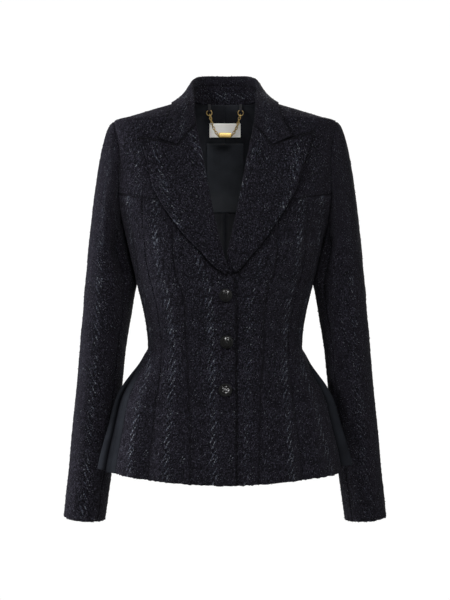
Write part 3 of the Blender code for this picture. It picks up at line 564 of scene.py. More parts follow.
# Tweed's yarn: nubs and how far they drift off the straight grain, fibres, bright points, gloss and relief
NUB_LENGTH = 1.4
NUB_WIDTH = 0.85
NUB_DRIFT = 2.4
NUB_DRIFT_SIZE = 14.0
FIBRE_SIZE = 0.7
FIBRE_SHARE = 0.6
POINT_SPACING = 1.2
POINT_RADIUS = 0.34
POINT_ABOVE = 0.986
TWEED_ROUGHNESS = 0.88
POINT_GLOSS = -0.45
SLUB_GLOSS = -0.15
TWEED_RELIEF = 0.9
TWEED_GROUND = ((0.0, "#040406"), (0.5, "#0c0b0f"), (0.82, "#17161c"), (1.0, "#2a2931"))
TWEED_SLUBS = ((0.0, "#17171b"), (0.35, "#26292f"), (0.65, "#353944"), (0.85, "#4a4e55"), (1.0, "#6c7074"))

# Tweed's check: its repeat, its bands' half widths from bare to full, their strokes and patches, the twill,
# each panel's share of slubs, and where a panel's stripe lies off its middle
CHECK_ACROSS = 70.0
CHECK_DOWN = 69.0
CHECK_DOWN_AT = 15.0
WARP_FADE = (6.6, 4.4)
WEFT_FADE = (8.5, 4.5)
WEFT_FILL = 0.35
WEFT_SHARE = 0.15
STROKE_ANGLE = math.radians(61)
STROKE_PITCH = 14.0
STROKE_FADE = (3.2, 1.1)
PATCH_SIZE = 34.0
PATCH_FADE = (0.35, 0.6)
PATCH_LEAST = 0.5
TWILL = 8.2
TWILL_SHARE = 0.09
ROPE_SHARE = 0.62
SLUB_FADE = (0.98, 1.14)
SLUB_SHARE = {
    "yoke_front": 0.35,
    "collar": 0.7,
    "lapel": 0.8,
    "front_centre_left": 0.45,
    "sleeve_top_right": 0.75,
    "sleeve_top_left": 0.45,
}
STRIPE_AT = {
    "front_centre_right": -7.0,
    "front_centre_left": 8.0,
    "front_middle_left": 12.0,
    "sleeve_top_right": -14.0,
    "sleeve_top_left": -16.0,
    "lapel_right": 34.0,
    "lapel_left": 36.0,
}

# Smooth cloths: drifts and grain in millimetres, the grain's share, the tones' stops and the gloss's swing
CLOTH_DRIFT = 22.0
CLOTH_GRAIN = 1.4
CLOTH_GRAIN_SHARE = 0.4
TONE_STOPS = (0.3, 0.7)
GLOSS_SWING = 0.2

# Creases: points along each, its bow, how it fades at its ends, and how many widths it reaches
CREASE_POINTS = 12
CREASE_BOW = 0.06
CREASE_END = 0.02
CREASE_FADE = 0.6
CREASE_REACH = 3

# Creases on the body: from an angle and height to an angle and height, width, and depth (outward if positive)
BODY_CREASES = {
    "right": (
        (44, -172, 47, -238, 8, 0.9),
        (51, -176, 53, -226, 6, -0.8),
        (64, -206, 37, -252, 9, -1.0),
        (86, -348, 50, -369, 7, -1.1),
        (88, -371, 62, -391, 5, -0.8),
        (6, -372, 27, -385, 5, -0.6),
        (8, -302, 30, -287, 6, -0.5),
        (20, -420, 17, -560, 11, 1.2),
        (52, -440, 50, -572, 9, 1.4),
        (178, -350, 139, -364, 9, -1.3),
        (176, -377, 150, -386, 6, -0.9),
        (121, -186, 141, -250, 10, -1.4),
        (151, -112, 156, -214, 15, 1.3),
        (113, -236, 134, -292, 8, -0.9),
        (146, -424, 141, -580, 13, -2.4),
        (166, -440, 168, -578, 12, 1.6),
    ),
    "left": (
        (43, -176, 45, -232, 7, 0.8),
        (54, -172, 55, -238, 6, -0.9),
        (62, -210, 40, -244, 8, -0.9),
        (87, -355, 46, -373, 6, -1.0),
        (86, -340, 60, -349, 6, -0.7),
        (9, -378, 33, -393, 6, -0.6),
        (12, -300, 36, -291, 7, -0.5),
        (22, -430, 19, -552, 12, 1.1),
        (50, -432, 51, -566, 10, 1.3),
        (179, -362, 144, -352, 8, -1.2),
        (175, -388, 141, -379, 6, -0.8),
        (120, -192, 138, -244, 9, -1.2),
        (149, -118, 153, -206, 14, 1.1),
        (116, -244, 138, -284, 7, -0.8),
        (144, -418, 139, -578, 14, -2.2),
        (164, -448, 165, -574, 11, 1.4),
    ),
}

# Creases on the sleeves, from a turn and row to a turn and row, rows counted down the sleeve's own table
SLEEVE_CREASES = {
    "right": (
        (130, 2.0, 126, 9.8, 15, -12.0),
        (98, 3.0, 146, 6.6, 8, -1.3),
        (72, 4.1, 118, 7.8, 9, 0.9),
        (108, 10.7, 176, 11.7, 7, -1.7),
        (96, 11.9, 164, 12.3, 6, -1.4),
        (88, 12.9, 150, 12.7, 7, -1.0),
        (66, 13.3, 122, 14.3, 11, -0.9),
        (104, 16.1, 150, 15.5, 8, -0.7),
        (258, 11.5, 306, 11.1, 8, -1.1),
        (250, 12.4, 312, 12.8, 9, -1.0),
        (218, 4.0, 268, 7.0, 10, -1.3),
        (300, 13.6, 338, 15.2, 12, 0.9),
        (20, 9.6, 60, 11.4, 14, 0.9),
    ),
    "left": (
        (139, 2.4, 137, 9.4, 10, -7.0),
        (94, 3.3, 150, 6.4, 9, -1.2),
        (76, 4.4, 112, 8.8, 8, 0.8),
        (112, 10.4, 172, 11.2, 7, -1.5),
        (100, 11.6, 168, 12.1, 7, -1.6),
        (84, 12.6, 144, 13.2, 8, -0.9),
        (70, 14.0, 116, 14.9, 10, -0.8),
        (98, 16.3, 144, 15.8, 7, -0.7),
        (262, 11.2, 300, 11.0, 7, -1.0),
        (254, 12.6, 318, 12.5, 9, -1.2),
        (222, 3.6, 262, 7.4, 11, -1.2),
        (296, 14.0, 334, 15.0, 11, 0.8),
        (24, 10.2, 56, 12.2, 13, 0.8),
    ),
}

# Creases of the lining over the back's middle, as on the body, and the angle that they are set in along
LINING_CREASES = (
    (180, -30, 180, -560, 3.5, 2.2),
    (176, -34, 175, -420, 4, -1.4),
    (170, -150, 165, -330, 7, -1.2),
    (158, -60, 162, -240, 9, 1.0),
)
LINING_CREASE_ANGLE = 175.0


def between(at, values, where):
    """Values between rows, on a smooth curve that doesn't overshoot."""
    at, values, where = (np.asarray(each, float) for each in (at, values, where))
    tail = (1,) * (values.ndim - 1)
    rise = np.diff(values, axis=0) / np.diff(at).reshape((-1,) + tail)
    product = rise[:-1] * rise[1:]
    alike = product > 0
    inner = np.where(alike, 2 * product / np.where(alike, rise[:-1] + rise[1:], 1.0), 0.0)
    slopes = np.concatenate([rise[:1], inner, rise[-1:]])
    i = np.clip(np.searchsorted(at, where) - 1, 0, len(at) - 2)
    step = at[i + 1] - at[i]
    t = np.clip((where - at[i]) / step, 0, 1).reshape(where.shape + tail)
    step = step.reshape(where.shape + tail)
    start = values[i] * (1 + 2 * t) * (1 - t) ** 2 + slopes[i] * step * t * (1 - t) ** 2
    end = values[i + 1] * t * t * (3 - 2 * t) - slopes[i + 1] * step * t * t * (1 - t)
    return start + end


class Table:
    """Named columns read between their rows."""

    def __init__(self, names, rows):
        rows = np.array(sorted(rows), float)
        self.at = rows[:, 0]
        self.columns = {name: rows[:, i + 1] for i, name in enumerate(names)}

    def read(self, name, where):
        return between(self.at, self.columns[name], where)


BODY = Table(BODY_COLUMNS, BODY_ROWS)
EDGE = Table(("reach",), EDGE_ROWS)
SEAMS = Table(SEAM_COLUMNS, SEAM_ROWS)
BACK_SEAM = Table(("reach",), BACK_SEAM_ROWS)
INSERT = Table(INSERT_COLUMNS, INSERT_ROWS)
PLEATS = Table(PLEAT_COLUMNS, PLEAT_ROWS)
PLEAT_SHADES = Table(PLEAT_SHADE_COLUMNS, PLEAT_SHADE_ROWS)
SLEEVE = Table(SLEEVE_COLUMNS, SLEEVE_ROWS)
LAPEL = Table(LAPEL_COLUMNS, LAPEL_ROWS)


def ease(share):
    share = np.clip(share, 0.0, 1.0)
    return share * share * (3 - 2 * share)


def nearness(gap, width):
    """1 on a line, falling softly to 0 away from it."""
    return np.exp(-(gap / width) ** 2)


def unit(vectors):
    return vectors / np.linalg.norm(vectors, axis=-1, keepdims=True)


def through(points, at):
    """Points on the curve through a list of points, at positions counted in points."""
    points, at = np.asarray(points, float), np.atleast_1d(np.asarray(at, float))
    padded = np.concatenate([2 * points[:1] - points[1:2], points, 2 * points[-1:] - points[-2:-1]])
    i = np.clip(np.floor(at).astype(int), 0, len(points) - 2)
    t = (at - i).reshape(-1, *(1,) * (points.ndim - 1))
    before, a, b, after = (padded[i + k] for k in range(4))
    bend = (2 * before - 5 * a + 4 * b - after) * t * t + (3 * a - before - 3 * b + after) * t ** 3
    return 0.5 * (2 * a + (b - before) * t + bend)


def evenly(line, cell):
    """Positions, counted in points, spread evenly along a line of points."""
    steps = np.linalg.norm(np.diff(line, axis=0), axis=1)
    reach = np.concatenate([[0], np.cumsum(steps)])
    count = max(3, int(round(reach[-1] / cell)) + 1)
    return np.interp(np.linspace(0, reach[-1], count), reach, np.arange(len(line)))


def surface(angle, height):
    """Points of the body's outside on the wearer's left."""
    angle, height = np.broadcast_arrays(np.asarray(angle, float), np.asarray(height, float))
    turn = np.radians(angle)
    across, along = np.sin(turn), np.cos(turn)
    depth = np.where(along > 0, BODY.read("front", height), BODY.read("back", height))
    x = BODY.read("half_width", height) * np.sign(across) * np.abs(across) ** (2 / SQUARENESS)
    y = BODY.read("middle", height) - depth * np.sign(along) * np.abs(along) ** (2 / SQUARENESS)
    return np.stack([x, y, height], -1)


def outward(angle, height):
    over = surface(angle + 0.5, height) - surface(angle - 0.5, height)
    up = surface(angle, height + 0.5) - surface(angle, height - 0.5)
    return unit(np.cross(over, up))


def angle_at_reach(reach, height, back=False):
    share = np.minimum(1.0, np.abs(reach) / BODY.read("half_width", height))
    angle = np.sign(reach) * np.degrees(np.arcsin(share ** (SQUARENESS / 2)))
    return 180 - angle if back else angle


def armhole(turn):
    """Angle and height on the body of points of the armhole."""
    turn = np.radians(np.asarray(turn, float))
    height = ARMHOLE_MIDDLE + ARMHOLE_HALF_HEIGHT * np.cos(turn)
    y = -np.where(np.sin(turn) > 0, ARMHOLE_FRONT, ARMHOLE_BACK) * np.sin(turn)
    depth = np.where(y < 0, BODY.read("front", height), BODY.read("back", height))
    angle = np.degrees(np.arccos(np.minimum(1.0, np.abs(y) / depth) ** (SQUARENESS / 2)))
    return np.stack([np.where(y < 0, angle, 180 - angle), height], -1)


def at_reach(table, name, heights, back=False):
    """Angles and heights of a seam that a table gives as a reach."""
    return np.stack([angle_at_reach(table.read(name, heights), heights, back), heights], -1)


def free_edge(heights):
    """A front panel's free edge, drawn back under the roll of the lapel."""
    heights = np.asarray(heights, float)
    from_top = ease((PULLED_BACK_TOP - heights) / PULLED_BACK_TOP_FADE)
    from_end = ease((heights - PULLED_BACK_END) / PULLED_BACK_END_FADE)
    reach = EDGE.read("reach", heights) + EDGE_PULLED_BACK * from_top * from_end
    return np.stack([angle_at_reach(reach, heights), heights], -1)


def seam_heights(top, hem):
    """Row heights down a seam, the same number of rows as the side seam has."""
    waist = SIDE_HEIGHTS.index(int(WAIST)) + 1
    lower = np.array(SIDE_HEIGHTS[waist:], float)
    lower = WAIST + (lower - WAIST) * (hem - WAIST) / (SIDE_HEIGHTS[-1] - WAIST)
    return np.concatenate([np.linspace(top, WAIST, ARMHOLE_ROWS + waist), lower])


def side_edge(column, turns):
    """Armhole over some turns to the arm's underside, then the side seam and the insert's seam."""
    extra = () if len(turns) == ARMHOLE_ROWS else (UNDERARM_HEIGHT,)
    heights = np.array(extra + SIDE_HEIGHTS, float)
    return np.concatenate([armhole(turns), np.stack([INSERT.read(column, heights), heights], -1)])


def front_lines(side):
    """The four upright lines that bound the front panels below the yoke."""
    princess = seam_heights(YOKE_AT_PRINCESS, HEM_FRONT + HEM_AT_PRINCESS_UP)
    side_front = seam_heights(YOKE_AT_SIDE_FRONT, HEM_FRONT + HEM_AT_SIDE_FRONT_UP)
    return (
        free_edge(seam_heights(YOKE_AT_EDGE, HEM_FRONT)),
        at_reach(SEAMS, "princess", princess),
        at_reach(SEAMS, "side_front", side_front),
        side_edge("front_" + side, range(YOKE_TURN, UNDERARM_TURN + 1, TURN_STEP)),
    )


def back_lines():
    """Neck and centre back, the armhole and back seam, the back seam alone, and the side."""
    heights = np.concatenate([BACK_HEIGHTS, seam_heights(BACK_HEIGHTS[-1], HEM_BACK)[1:]])
    centre = np.concatenate([BACK_NECK, np.stack([np.full(len(heights), 180.0), heights], -1)])
    start = armhole(BACK_SEAM_TURN)
    seam = seam_heights(float(start[1]), HEM_BACK + HEM_AT_BACK_SEAM_UP)[1:]
    seam = at_reach(BACK_SEAM, "reach", seam, back=True)
    over_seam = armhole(range(360, BACK_SEAM_TURN - 1, -TURN_STEP))
    side = side_edge("back", range(BACK_SEAM_TURN - TURN_STEP, UNDERARM_TURN - 1, -TURN_STEP))
    return centre, np.concatenate([over_seam, seam]), np.concatenate([start[None], seam]), side


def ruled(left, right, cells):
    """Rows of (angle, height) from one edge line to another."""
    shares = np.linspace(0, 1, cells + 1)[None, :, None]
    return left[:, None] + (right - left)[:, None] * shares


def front_lift(reach, height, side):
    """How far a front panel lies off the body: the soft fold at its side seam and the lap."""
    off_seam = (reach - SEAMS.read("side_front", height)) / FLUTE_WIDTH
    lift = -FLUTE_DEPTH * ease((WAIST - height) / FLUTE_LENGTH) * np.exp(-off_seam * off_seam)
    if side == "left":
        under = ease((UNDERLAP_REACH - reach) / UNDERLAP_REACH_FADE)
        lift = lift - UNDERLAP * under * ease((UNDERLAP_TOP - height) / UNDERLAP_TOP_FADE)
    return lift


def normals_of(grid):
    return unit(np.cross(np.gradient(grid, axis=1), np.gradient(grid, axis=0)))


def body_grid(rows, lift, cell=CELL):
    """Points and outward directions of a sheet on the body, read finely from rows of (angle, height)."""
    coarse = surface(rows[..., 0], rows[..., 1])
    down = evenly(coarse[:, rows.shape[1] // 2], cell)
    rows = between(np.arange(len(rows)), rows, down)
    widest = max(np.linalg.norm(np.diff(coarse, axis=1), axis=2).sum(1))
    at = np.linspace(0, rows.shape[1] - 1, int(widest / cell) + 2)
    i = np.clip(at.astype(int), 0, rows.shape[1] - 2)
    t = (at - i)[None, :, None]
    rows = rows[:, i] * (1 - t) + rows[:, i + 1] * t
    points, normals = surface(rows[..., 0], rows[..., 1]), outward(rows[..., 0], rows[..., 1])
    return points + normals * lift(points[..., 0], points[..., 2])[..., None], normals


def reaches(grid):
    """Distances of a grid's points from its left, right, top and bottom edges, along the cloth."""
    across = np.cumsum(np.linalg.norm(np.diff(grid, axis=1, prepend=grid[:, :1]), axis=2), axis=1)
    down = np.cumsum(np.linalg.norm(np.diff(grid, axis=0, prepend=grid[:1]), axis=2), axis=0)
    return {"left": across, "right": across[:, -1:] - across, "top": down, "bottom": down[-1:] - down}


def trimmed(grid, sewn):
    """The same points with each sewn border drawn in by half the seam's gap."""
    grid = grid.copy()
    borders = {"left": (0, 1), "right": (-1, -2), "top": (0, 1), "bottom": (-1, -2)}
    for border in sewn:
        edge, near = borders[border]
        view = grid if border in ("top", "bottom") else grid.swapaxes(0, 1)
        view[edge] += unit(view[near] - view[edge]) * SEAM_GAP / 2
    return grid


def crease_line(rows, place):
    """Each crease as points along the cloth, with its width and depth."""
    lines = []
    shares = np.linspace(0, 1, CREASE_POINTS)
    for first, start, last, end, width, depth in rows:
        bow = CREASE_BOW * (last - first) * np.sin(math.pi * shares)
        line = place(first + (last - first) * shares + bow, start + (end - start) * shares)
        lines.append((line, width, depth))
    return lines


def creased(grid, lines):
    """How far the creases move each point, fading out at their ends."""
    moved = np.zeros(grid.shape[:2])
    for line, width, depth in lines:
        low, high = line.min(0) - CREASE_REACH * width, line.max(0) + CREASE_REACH * width
        near = np.all((grid > low) & (grid < high), axis=2)
        if not near.any():
            continue
        points = grid[near]
        start, way = line[:-1], np.diff(line, axis=0)
        t = np.einsum("psk,sk->ps", points[:, None] - start, way) / (way * way).sum(1)
        t = np.clip(t, 0, 1)
        gap = np.linalg.norm(points[:, None] - start - way * t[..., None], axis=2)
        nearest = gap.argmin(1)
        pick = np.arange(len(points))
        along = (nearest + t[pick, nearest]) / len(way)
        ends = np.sin(math.pi * np.clip(along, CREASE_END, 1 - CREASE_END)) ** CREASE_FADE
        moved[near] += depth * nearness(gap[pick, nearest], width) * ends
    return moved


def material_of(name):
    return bpy.data.materials[name]


def link_object(name, mesh):
    thing = bpy.data.objects.new(name, mesh)
    bpy.context.scene.collection.objects.link(thing)
    return thing


def shell(name, outer, inner, cut, finishes, side=1, marks=()):
    """A thin closed shell between two sheets of points, with a rounded rim.

    Its UV map is the cut, and its marks are named values at the points of its outside.
    """
    rows, columns = outer.shape[:2]
    count = rows * columns
    index = np.arange(count).reshape(rows, columns)
    quads = np.stack([index[:-1, :-1], index[:-1, 1:], index[1:, 1:], index[1:, :-1]], -1).reshape(-1, 4)
    border = np.concatenate([index[0], index[1:, -1], index[-1, -2::-1], index[-2:0:-1, 0]])
    near = np.concatenate([index[1], index[1:-1, -2], index[-2, ::-1], index[-2:0:-1, 1]])
    near[0], near[columns - 1] = index[1, 1], index[1, -2]
    near[columns + rows - 2], near[2 * columns + rows - 3] = index[-2, -2], index[-2, 1]
    flat_outer, flat_inner = outer.reshape(-1, 3), inner.reshape(-1, 3)
    away = unit(flat_outer[border] - flat_outer[near])
    wall = np.linalg.norm(flat_outer[border] - flat_inner[border], axis=1, keepdims=True)
    rim = (flat_outer[border] + flat_inner[border]) / 2 + away * wall * EDGE_ROUND
    points = np.concatenate([flat_outer, flat_inner, rim]) * (side * MM, MM, MM)
    middle = len(quads) // 2
    a, b, d = (points[quads[middle, k]] for k in (0, 1, 3))
    facing = np.dot(np.cross(b - a, d - a), points[quads[middle, 0]] - points[quads[middle, 0] + count])
    ahead = np.roll(np.arange(len(border)), -1)
    mid = 2 * count + np.arange(len(border))
    over = np.stack([border[ahead], border, mid, mid[ahead]], -1)
    under = np.stack([mid[ahead], mid, border + count, border[ahead] + count], -1)
    faces = np.concatenate([quads, quads[:, ::-1] + count, over, under])
    if facing < 0:
        faces = faces[:, ::-1]
    mesh = bpy.data.meshes.new(name)
    mesh.from_pydata(points.tolist(), [], faces.tolist())
    flat_cut = cut.reshape(-1, 2) * (side * MM, MM)
    uv = np.concatenate([flat_cut, flat_cut, flat_cut[border]])
    layer = mesh.uv_layers.new(name="cut")
    layer.data.foreach_set("uv", uv[faces.ravel()].astype(np.float32).ravel())
    for mark, values in dict(marks).items():
        layer = mesh.attributes.new(mark, "FLOAT", "POINT")
        values = values.ravel()
        layer.data.foreach_set("value", np.concatenate([values, np.zeros(count), values[border]]))
    for finish in finishes:
        mesh.materials.append(material_of(finish))
    if len(finishes) > 1:
        slots = np.zeros(len(faces), np.int32)
        slots[len(quads):2 * len(quads)] = 1
        mesh.polygons.foreach_set("material_index", slots)
    mesh.shade_smooth()
    mesh.update()
    return link_object(name, mesh)


def stand_for(piece, node, body):
    """A finished piece takes the place of its solid and moves with a body."""
    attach(piece, body)
    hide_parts(node)


def hang(piece, node):
    """A finished sheet stands for its solid and moves with the jacket."""
    stand_for(piece, node, "jacket")


def cut_of(grid, shift=0.0):
    """The flat cut of a sheet: across from its middle column, down along that column."""
    grain = grid.shape[1] // 2
    reach = reaches(grid)
    across = reach["left"] - reach["left"][:, grain:grain + 1]
    down = reach["top"][:, grain:grain + 1] - grid[0, grain, 2]
    return np.stack([across - shift, np.broadcast_to(down, across.shape)], -1)


def plumb_cut(grid, shift, back):
    """The flat cut of a sheet whose grain hangs plumb.

    Across runs along the body's ring; down is the height and, over the shoulder, the way along the cloth.
    """
    reach, _, height = np.moveaxis(grid, 2, 0)
    level = np.minimum(height, SHOULDER_SLOPE_END)[..., None]
    steps = reach[..., None] * np.linspace(0, 1, RING_STEPS)
    line = surface(angle_at_reach(steps, level, back), level)
    across = np.linalg.norm(np.diff(line, axis=2), axis=3).sum(2) * np.sign(reach)
    step = np.diff(grid, axis=0)
    along = np.hypot(step[..., 1], step[..., 2]) * np.sign(step[..., 2])
    rise = np.where(height[1:] > SHOULDER_SLOPE_END, along, step[..., 2])
    climbed = np.concatenate([np.zeros_like(height[:1]), np.cumsum(rise, axis=0)])
    down = height[-1] + climbed - climbed[-1]
    return np.stack([across - shift, -down], -1)


def soft_shadow(grid, line, shares, width):
    """Darkening of a sheet along the line of a piece that lies over it, as seen from the front."""
    along = np.linspace(0, 1, SHADOW_POINTS)
    spread = np.linspace(0, 1, len(line))
    line = np.stack([np.interp(along, spread, line[:, axis]) for axis in (0, 2)], -1)
    gap = np.linalg.norm(grid[:, :, None, ::2] - line, axis=3)
    shares = np.interp(along, np.linspace(0, 1, len(shares)), shares)
    return shares[gap.argmin(2)] * nearness(gap.min(2), width)


def own(table, node, otherwise):
    """What a table has for a node or, where its two sides are alike, for its name without the side."""
    return table.get(node, table.get(node.rsplit("_", 1)[0], otherwise))


def tweed_sheet(node, grid, normals, side, creases=(), wall=TWEED_WALL, frayed=("bottom",), finishes=LINED,
                plumb=None, shadows=()):
    """A tweed panel: borders sunk into their seams, creases, fray and the yarn's uneven nubs, with painted
    shade in its seam mark: along its seams, on its dark edges and as soft shadows of edges over it.
    """
    rng = np.random.default_rng(SEED + len(node) * SEED_STEP + sum(map(ord, node)))
    sewn, dark = own(SEWN, node, {}), own(PAINTED_EDGE_SHADE, node, {})
    grid = trimmed(grid, sewn)
    reach = reaches(grid)
    moved = creased(grid, creases)
    seam = np.zeros(grid.shape[:2])
    fray = np.ones(grid.shape[:2])
    for border in frayed:
        fray = fray + EDGE_LOOPS * nearness(reach[border], EDGE_LOOPS_WIDTH)
    for border in dark:
        fray = fray * (1 + DARK_EDGE_LOOPS - nearness(reach[border], EDGE_LOOPS_WIDTH))
    # Each sewn border dips into its seam, and painted shade darkens the cloth along it
    for border, share in sewn.items():
        moved = moved - share * SEAM_DIP * nearness(reach[border], SEAM_WIDTH)
        seam = np.maximum(seam, share * SEAM_PAINTED_SHADE * nearness(reach[border], SEAM_WIDTH))
    # Painted shade: a dark line along each dark free edge
    for border, share in dark.items():
        seam = np.maximum(seam, share * nearness(reach[border], PAINTED_EDGE_WIDTH))
    # Painted shadows: soft dark bands under the edges of pieces that lie over this panel
    for line, shares, width in shadows:
        seam = np.maximum(seam, soft_shadow(grid, line, shares, width))
    slubs = np.full(grid.shape[:2], own(SLUB_SHARE, node, 1.0))
    nubs = rng.normal(0, NUB, grid.shape[:2])
    base = grid + normals * moved[..., None]
    if "bottom" in frayed:
        wave = np.convolve(rng.normal(0, HEM_UNEVEN, grid.shape[1]), HEM_SMOOTHING, "same")
        down = unit(np.gradient(grid, axis=0))
        base = base + down * (wave * nearness(reach["bottom"], HEM_UNEVEN_REACH))[..., None]
    outer = base + normals * nubs[..., None]
    inner = base - normals * wall
    shift = STRIPE_AT.get(node, 0.0)
    cut = cut_of(grid, shift) if plumb is None else plumb_cut(grid, shift, plumb == "back")
    # The seam mark carries all of this painted shade to the tweed's colour
    marks = {"seam": seam, "fray": fray, "slubs": slubs}
    piece = shell(node + "_tweed", outer, inner, cut, finishes, SIDES.get(side, 1), marks)
    hang(piece, node)


def edges_over(side):
    """Edges that lie over the panels of one side, each with the shares and width of its soft shadow."""
    lapel_points = lapel_grid(side, np.linspace(0, 1, LAPEL_STATIONS))
    fall = collar_fall()
    half = len(fall) // 2
    fall = (fall[:half + 1] if side == "right" else fall[:half - 1:-1]) * (SIDES[side], 1, 1)
    collar_edge = np.concatenate([fall[0, GORGE_POINTS - 1:], fall[1:, -1]])
    shadows = [(lapel_points[:, -1], LAPEL_SHADOW[side], LAPEL_SHADOW_WIDTH),
               (lapel_points[-1], PEAK_SHADOW, PEAK_SHADOW_WIDTH),
               (collar_edge, COLLAR_SHADOW, COLLAR_SHADOW_WIDTH)]
    if side == "left":
        heights = np.linspace(PULLED_BACK_END, HEM_FRONT, OVERLAP_POINTS)
        overlap = np.array([(OVERLAP_REACH, 0.0, height) for height in heights])
        shadows.append((overlap, OVERLAP_SHADOW, OVERLAP_SHADOW_WIDTH))
    return shadows


def body_panels(side):
    """Fronts under the yoke, the yoke, and the two back panels of one side."""
    free, princess, side_front, edge = front_lines(side)
    lines = crease_line(BODY_CREASES[side], surface)
    shadows = edges_over(side)

    def on_front(reach, height):
        return front_lift(reach, height, side)

    def flat(reach, height):
        return np.zeros_like(reach)

    fronts = (
        ("front_centre", free, princess),
        ("front_middle", princess, side_front),
        ("front_side", side_front, edge),
    )
    bottom = []
    for name, first, second in fronts:
        rows = ruled(first, second, PANEL_CELLS[name])
        bottom.append(rows[0] if name == "front_side" else rows[0, :-1])
        tweed_sheet(name + "_" + side, *body_grid(rows, on_front), side, lines, shadows=shadows)
    bottom = np.concatenate(bottom)
    shares = ((bottom[:, 0] - bottom[0, 0]) / (bottom[-1, 0] - bottom[0, 0]))[None, :, None]
    neck, arm = free_edge(YOKE_HEIGHTS), armhole(range(0, YOKE_TURN + 1, TURN_STEP))
    rows = neck[:, None] + (arm - neck)[:, None] * shares
    rows[-1] = bottom
    tweed_sheet("yoke_front_" + side, *body_grid(rows, flat), side, lines, frayed=(), plumb="front",
                shadows=shadows)
    centre, over_seam, seam, edge = back_lines()
    rows = ruled(centre, over_seam, PANEL_CELLS["back_centre"])
    tweed_sheet("back_centre_" + side, *body_grid(rows, flat), side, lines, plumb="back")
    rows = ruled(seam, edge, PANEL_CELLS["back_side"])
    tweed_sheet("back_side_" + side, *body_grid(rows, flat), side, lines)


def sleeve_ring(turn, height):
    x = SLEEVE.read("centre_x", height) + SLEEVE.read("half_width", height) * np.cos(turn)
    y = SLEEVE.read("centre_y", height) - SLEEVE.read("half_depth", height) * np.sin(turn)
    slant = CUFF_OUTER_RISE * np.cos(turn) - CUFF_FRONT_DROP * np.sin(turn)
    return np.stack([x, y, height + slant * ease((CUFF_SLANT_START - height) / CUFF_SLANT_LENGTH)], -1)


def sleeve_at(turns, rows):
    """Points of the sleeve at turns in degrees and rows counted down its table, cap rows first."""
    turns, rows = np.broadcast_arrays(np.asarray(turns, float), np.asarray(rows, float))
    turn = np.radians(turns)
    heights = np.array([row[0] for row in SLEEVE_ROWS], float)
    below = np.interp(rows - CAP_ROWS, np.arange(len(heights)), heights)
    place = armhole(turns % 360)
    start = surface(place[..., 0], place[..., 1]) + np.array((SLEEVE_CLEARANCE, 0, 0))
    end = sleeve_ring(turn, np.full(turn.shape, heights[0]))
    fall = start[..., 2] - end[..., 2]
    under = (1 - np.cos(turn)) / 2
    nothing = np.zeros_like(turn)
    leave = np.stack([CAP_EASE * (1 - under), -CAP_FRONT_EASE * np.sin(turn),
                      -CAP_UNDER_DROP * fall * under - CAP_TOP_DROP], -1) + start
    arrive = np.stack([CAP_ARRIVE_IN * (start - end)[..., 0], nothing, CAP_ARRIVE_UP * fall], -1) + end
    t = (np.clip(rows / CAP_ROWS, 0, 1) ** CAP_SPREAD)[..., None]
    cap = start * (1 - t) ** 3 + leave * 3 * t * (1 - t) ** 2 + arrive * 3 * t * t * (1 - t) + end * t ** 3
    return np.where((rows < CAP_ROWS)[..., None], cap, sleeve_ring(turn, below))


def sleeves(side):
    """Top and under sleeve, from the armhole to the cuff."""
    last_row = CAP_ROWS + len(SLEEVE_ROWS) - 1
    gauge = sleeve_at(SLEEVE_GAUGE_TURN, np.linspace(0, last_row, SLEEVE_GAUGE_POINTS))
    rows = evenly(gauge, CELL) * last_row / (SLEEVE_GAUGE_POINTS - 1)
    lines = crease_line(SLEEVE_CREASES[side], sleeve_at)
    spans = (
        ("sleeve_under_", SLEEVE_FRONT_SEAM, SLEEVE_BACK_SEAM),
        ("sleeve_top_", SLEEVE_BACK_SEAM, SLEEVE_FRONT_SEAM + 360),
    )
    for name, first, last in spans:
        turns = np.linspace(first, last, int((last - first) / SLEEVE_TURN_STEP) + 1)
        grid = sleeve_at(turns[None, :], rows[:, None])
        tweed_sheet(name + side, grid, normals_of(grid), side, lines)


def side_insert(side):
    """Pleated insert of smooth crepe let in at the side of the skirt."""
    heights = np.linspace(INSERT_TOP, INSERT_HEM[side], INSERT_POINTS_DOWN)
    shares = np.linspace(0, 1, INSERT_POINTS_ACROSS)
    first, last = INSERT.read("front_" + side, heights), INSERT.read("back", heights)
    angle = first[:, None] + (last - first)[:, None] * shares
    height = np.broadcast_to(heights[:, None], angle.shape)
    opened = INSERT.read("fold", heights)[:, None]
    fold = PLEATS.read("out_" + side, shares)[None, :] * opened
    # Painted shade in the pleats' valleys, growing as the pleats open, kept in the seam mark
    shade = PLEAT_SHADES.read("dark_" + side, shares)[None, :] * ease(opened * PLEAT_SHADE_RISE)
    normals = outward(angle, height)
    grid = surface(angle, height) + normals * fold[..., None]
    way = unit(np.gradient(grid, axis=1))
    across = unit(np.cross(way, (0.0, 0.0, 1.0)))
    across[:, 0], across[:, -1] = normals[:, 0], normals[:, -1]
    cut = cut_of(grid)
    inner = grid - across * CREPE_WALL
    node = "side_insert_" + side
    piece = shell(node + "_crepe", grid, inner, cut, ("crepe_cloth",), SIDES[side], {"seam": shade})
    hang(piece, node)


def row_lift(share, rolled, length):
    """Height of a lapel over the chest across its width."""
    at_roll = LAPEL_FLAT[-1][1] + (LAPEL_LIFT - LAPEL_FLAT[-1][1]) * rolled
    belly = LAPEL_BELLY * math.sin(math.pi * share) * min(1.0, length / BELLY_FULL_LENGTH)
    return at_roll + (LAPEL_EDGE_LIFT - at_roll) * share + belly


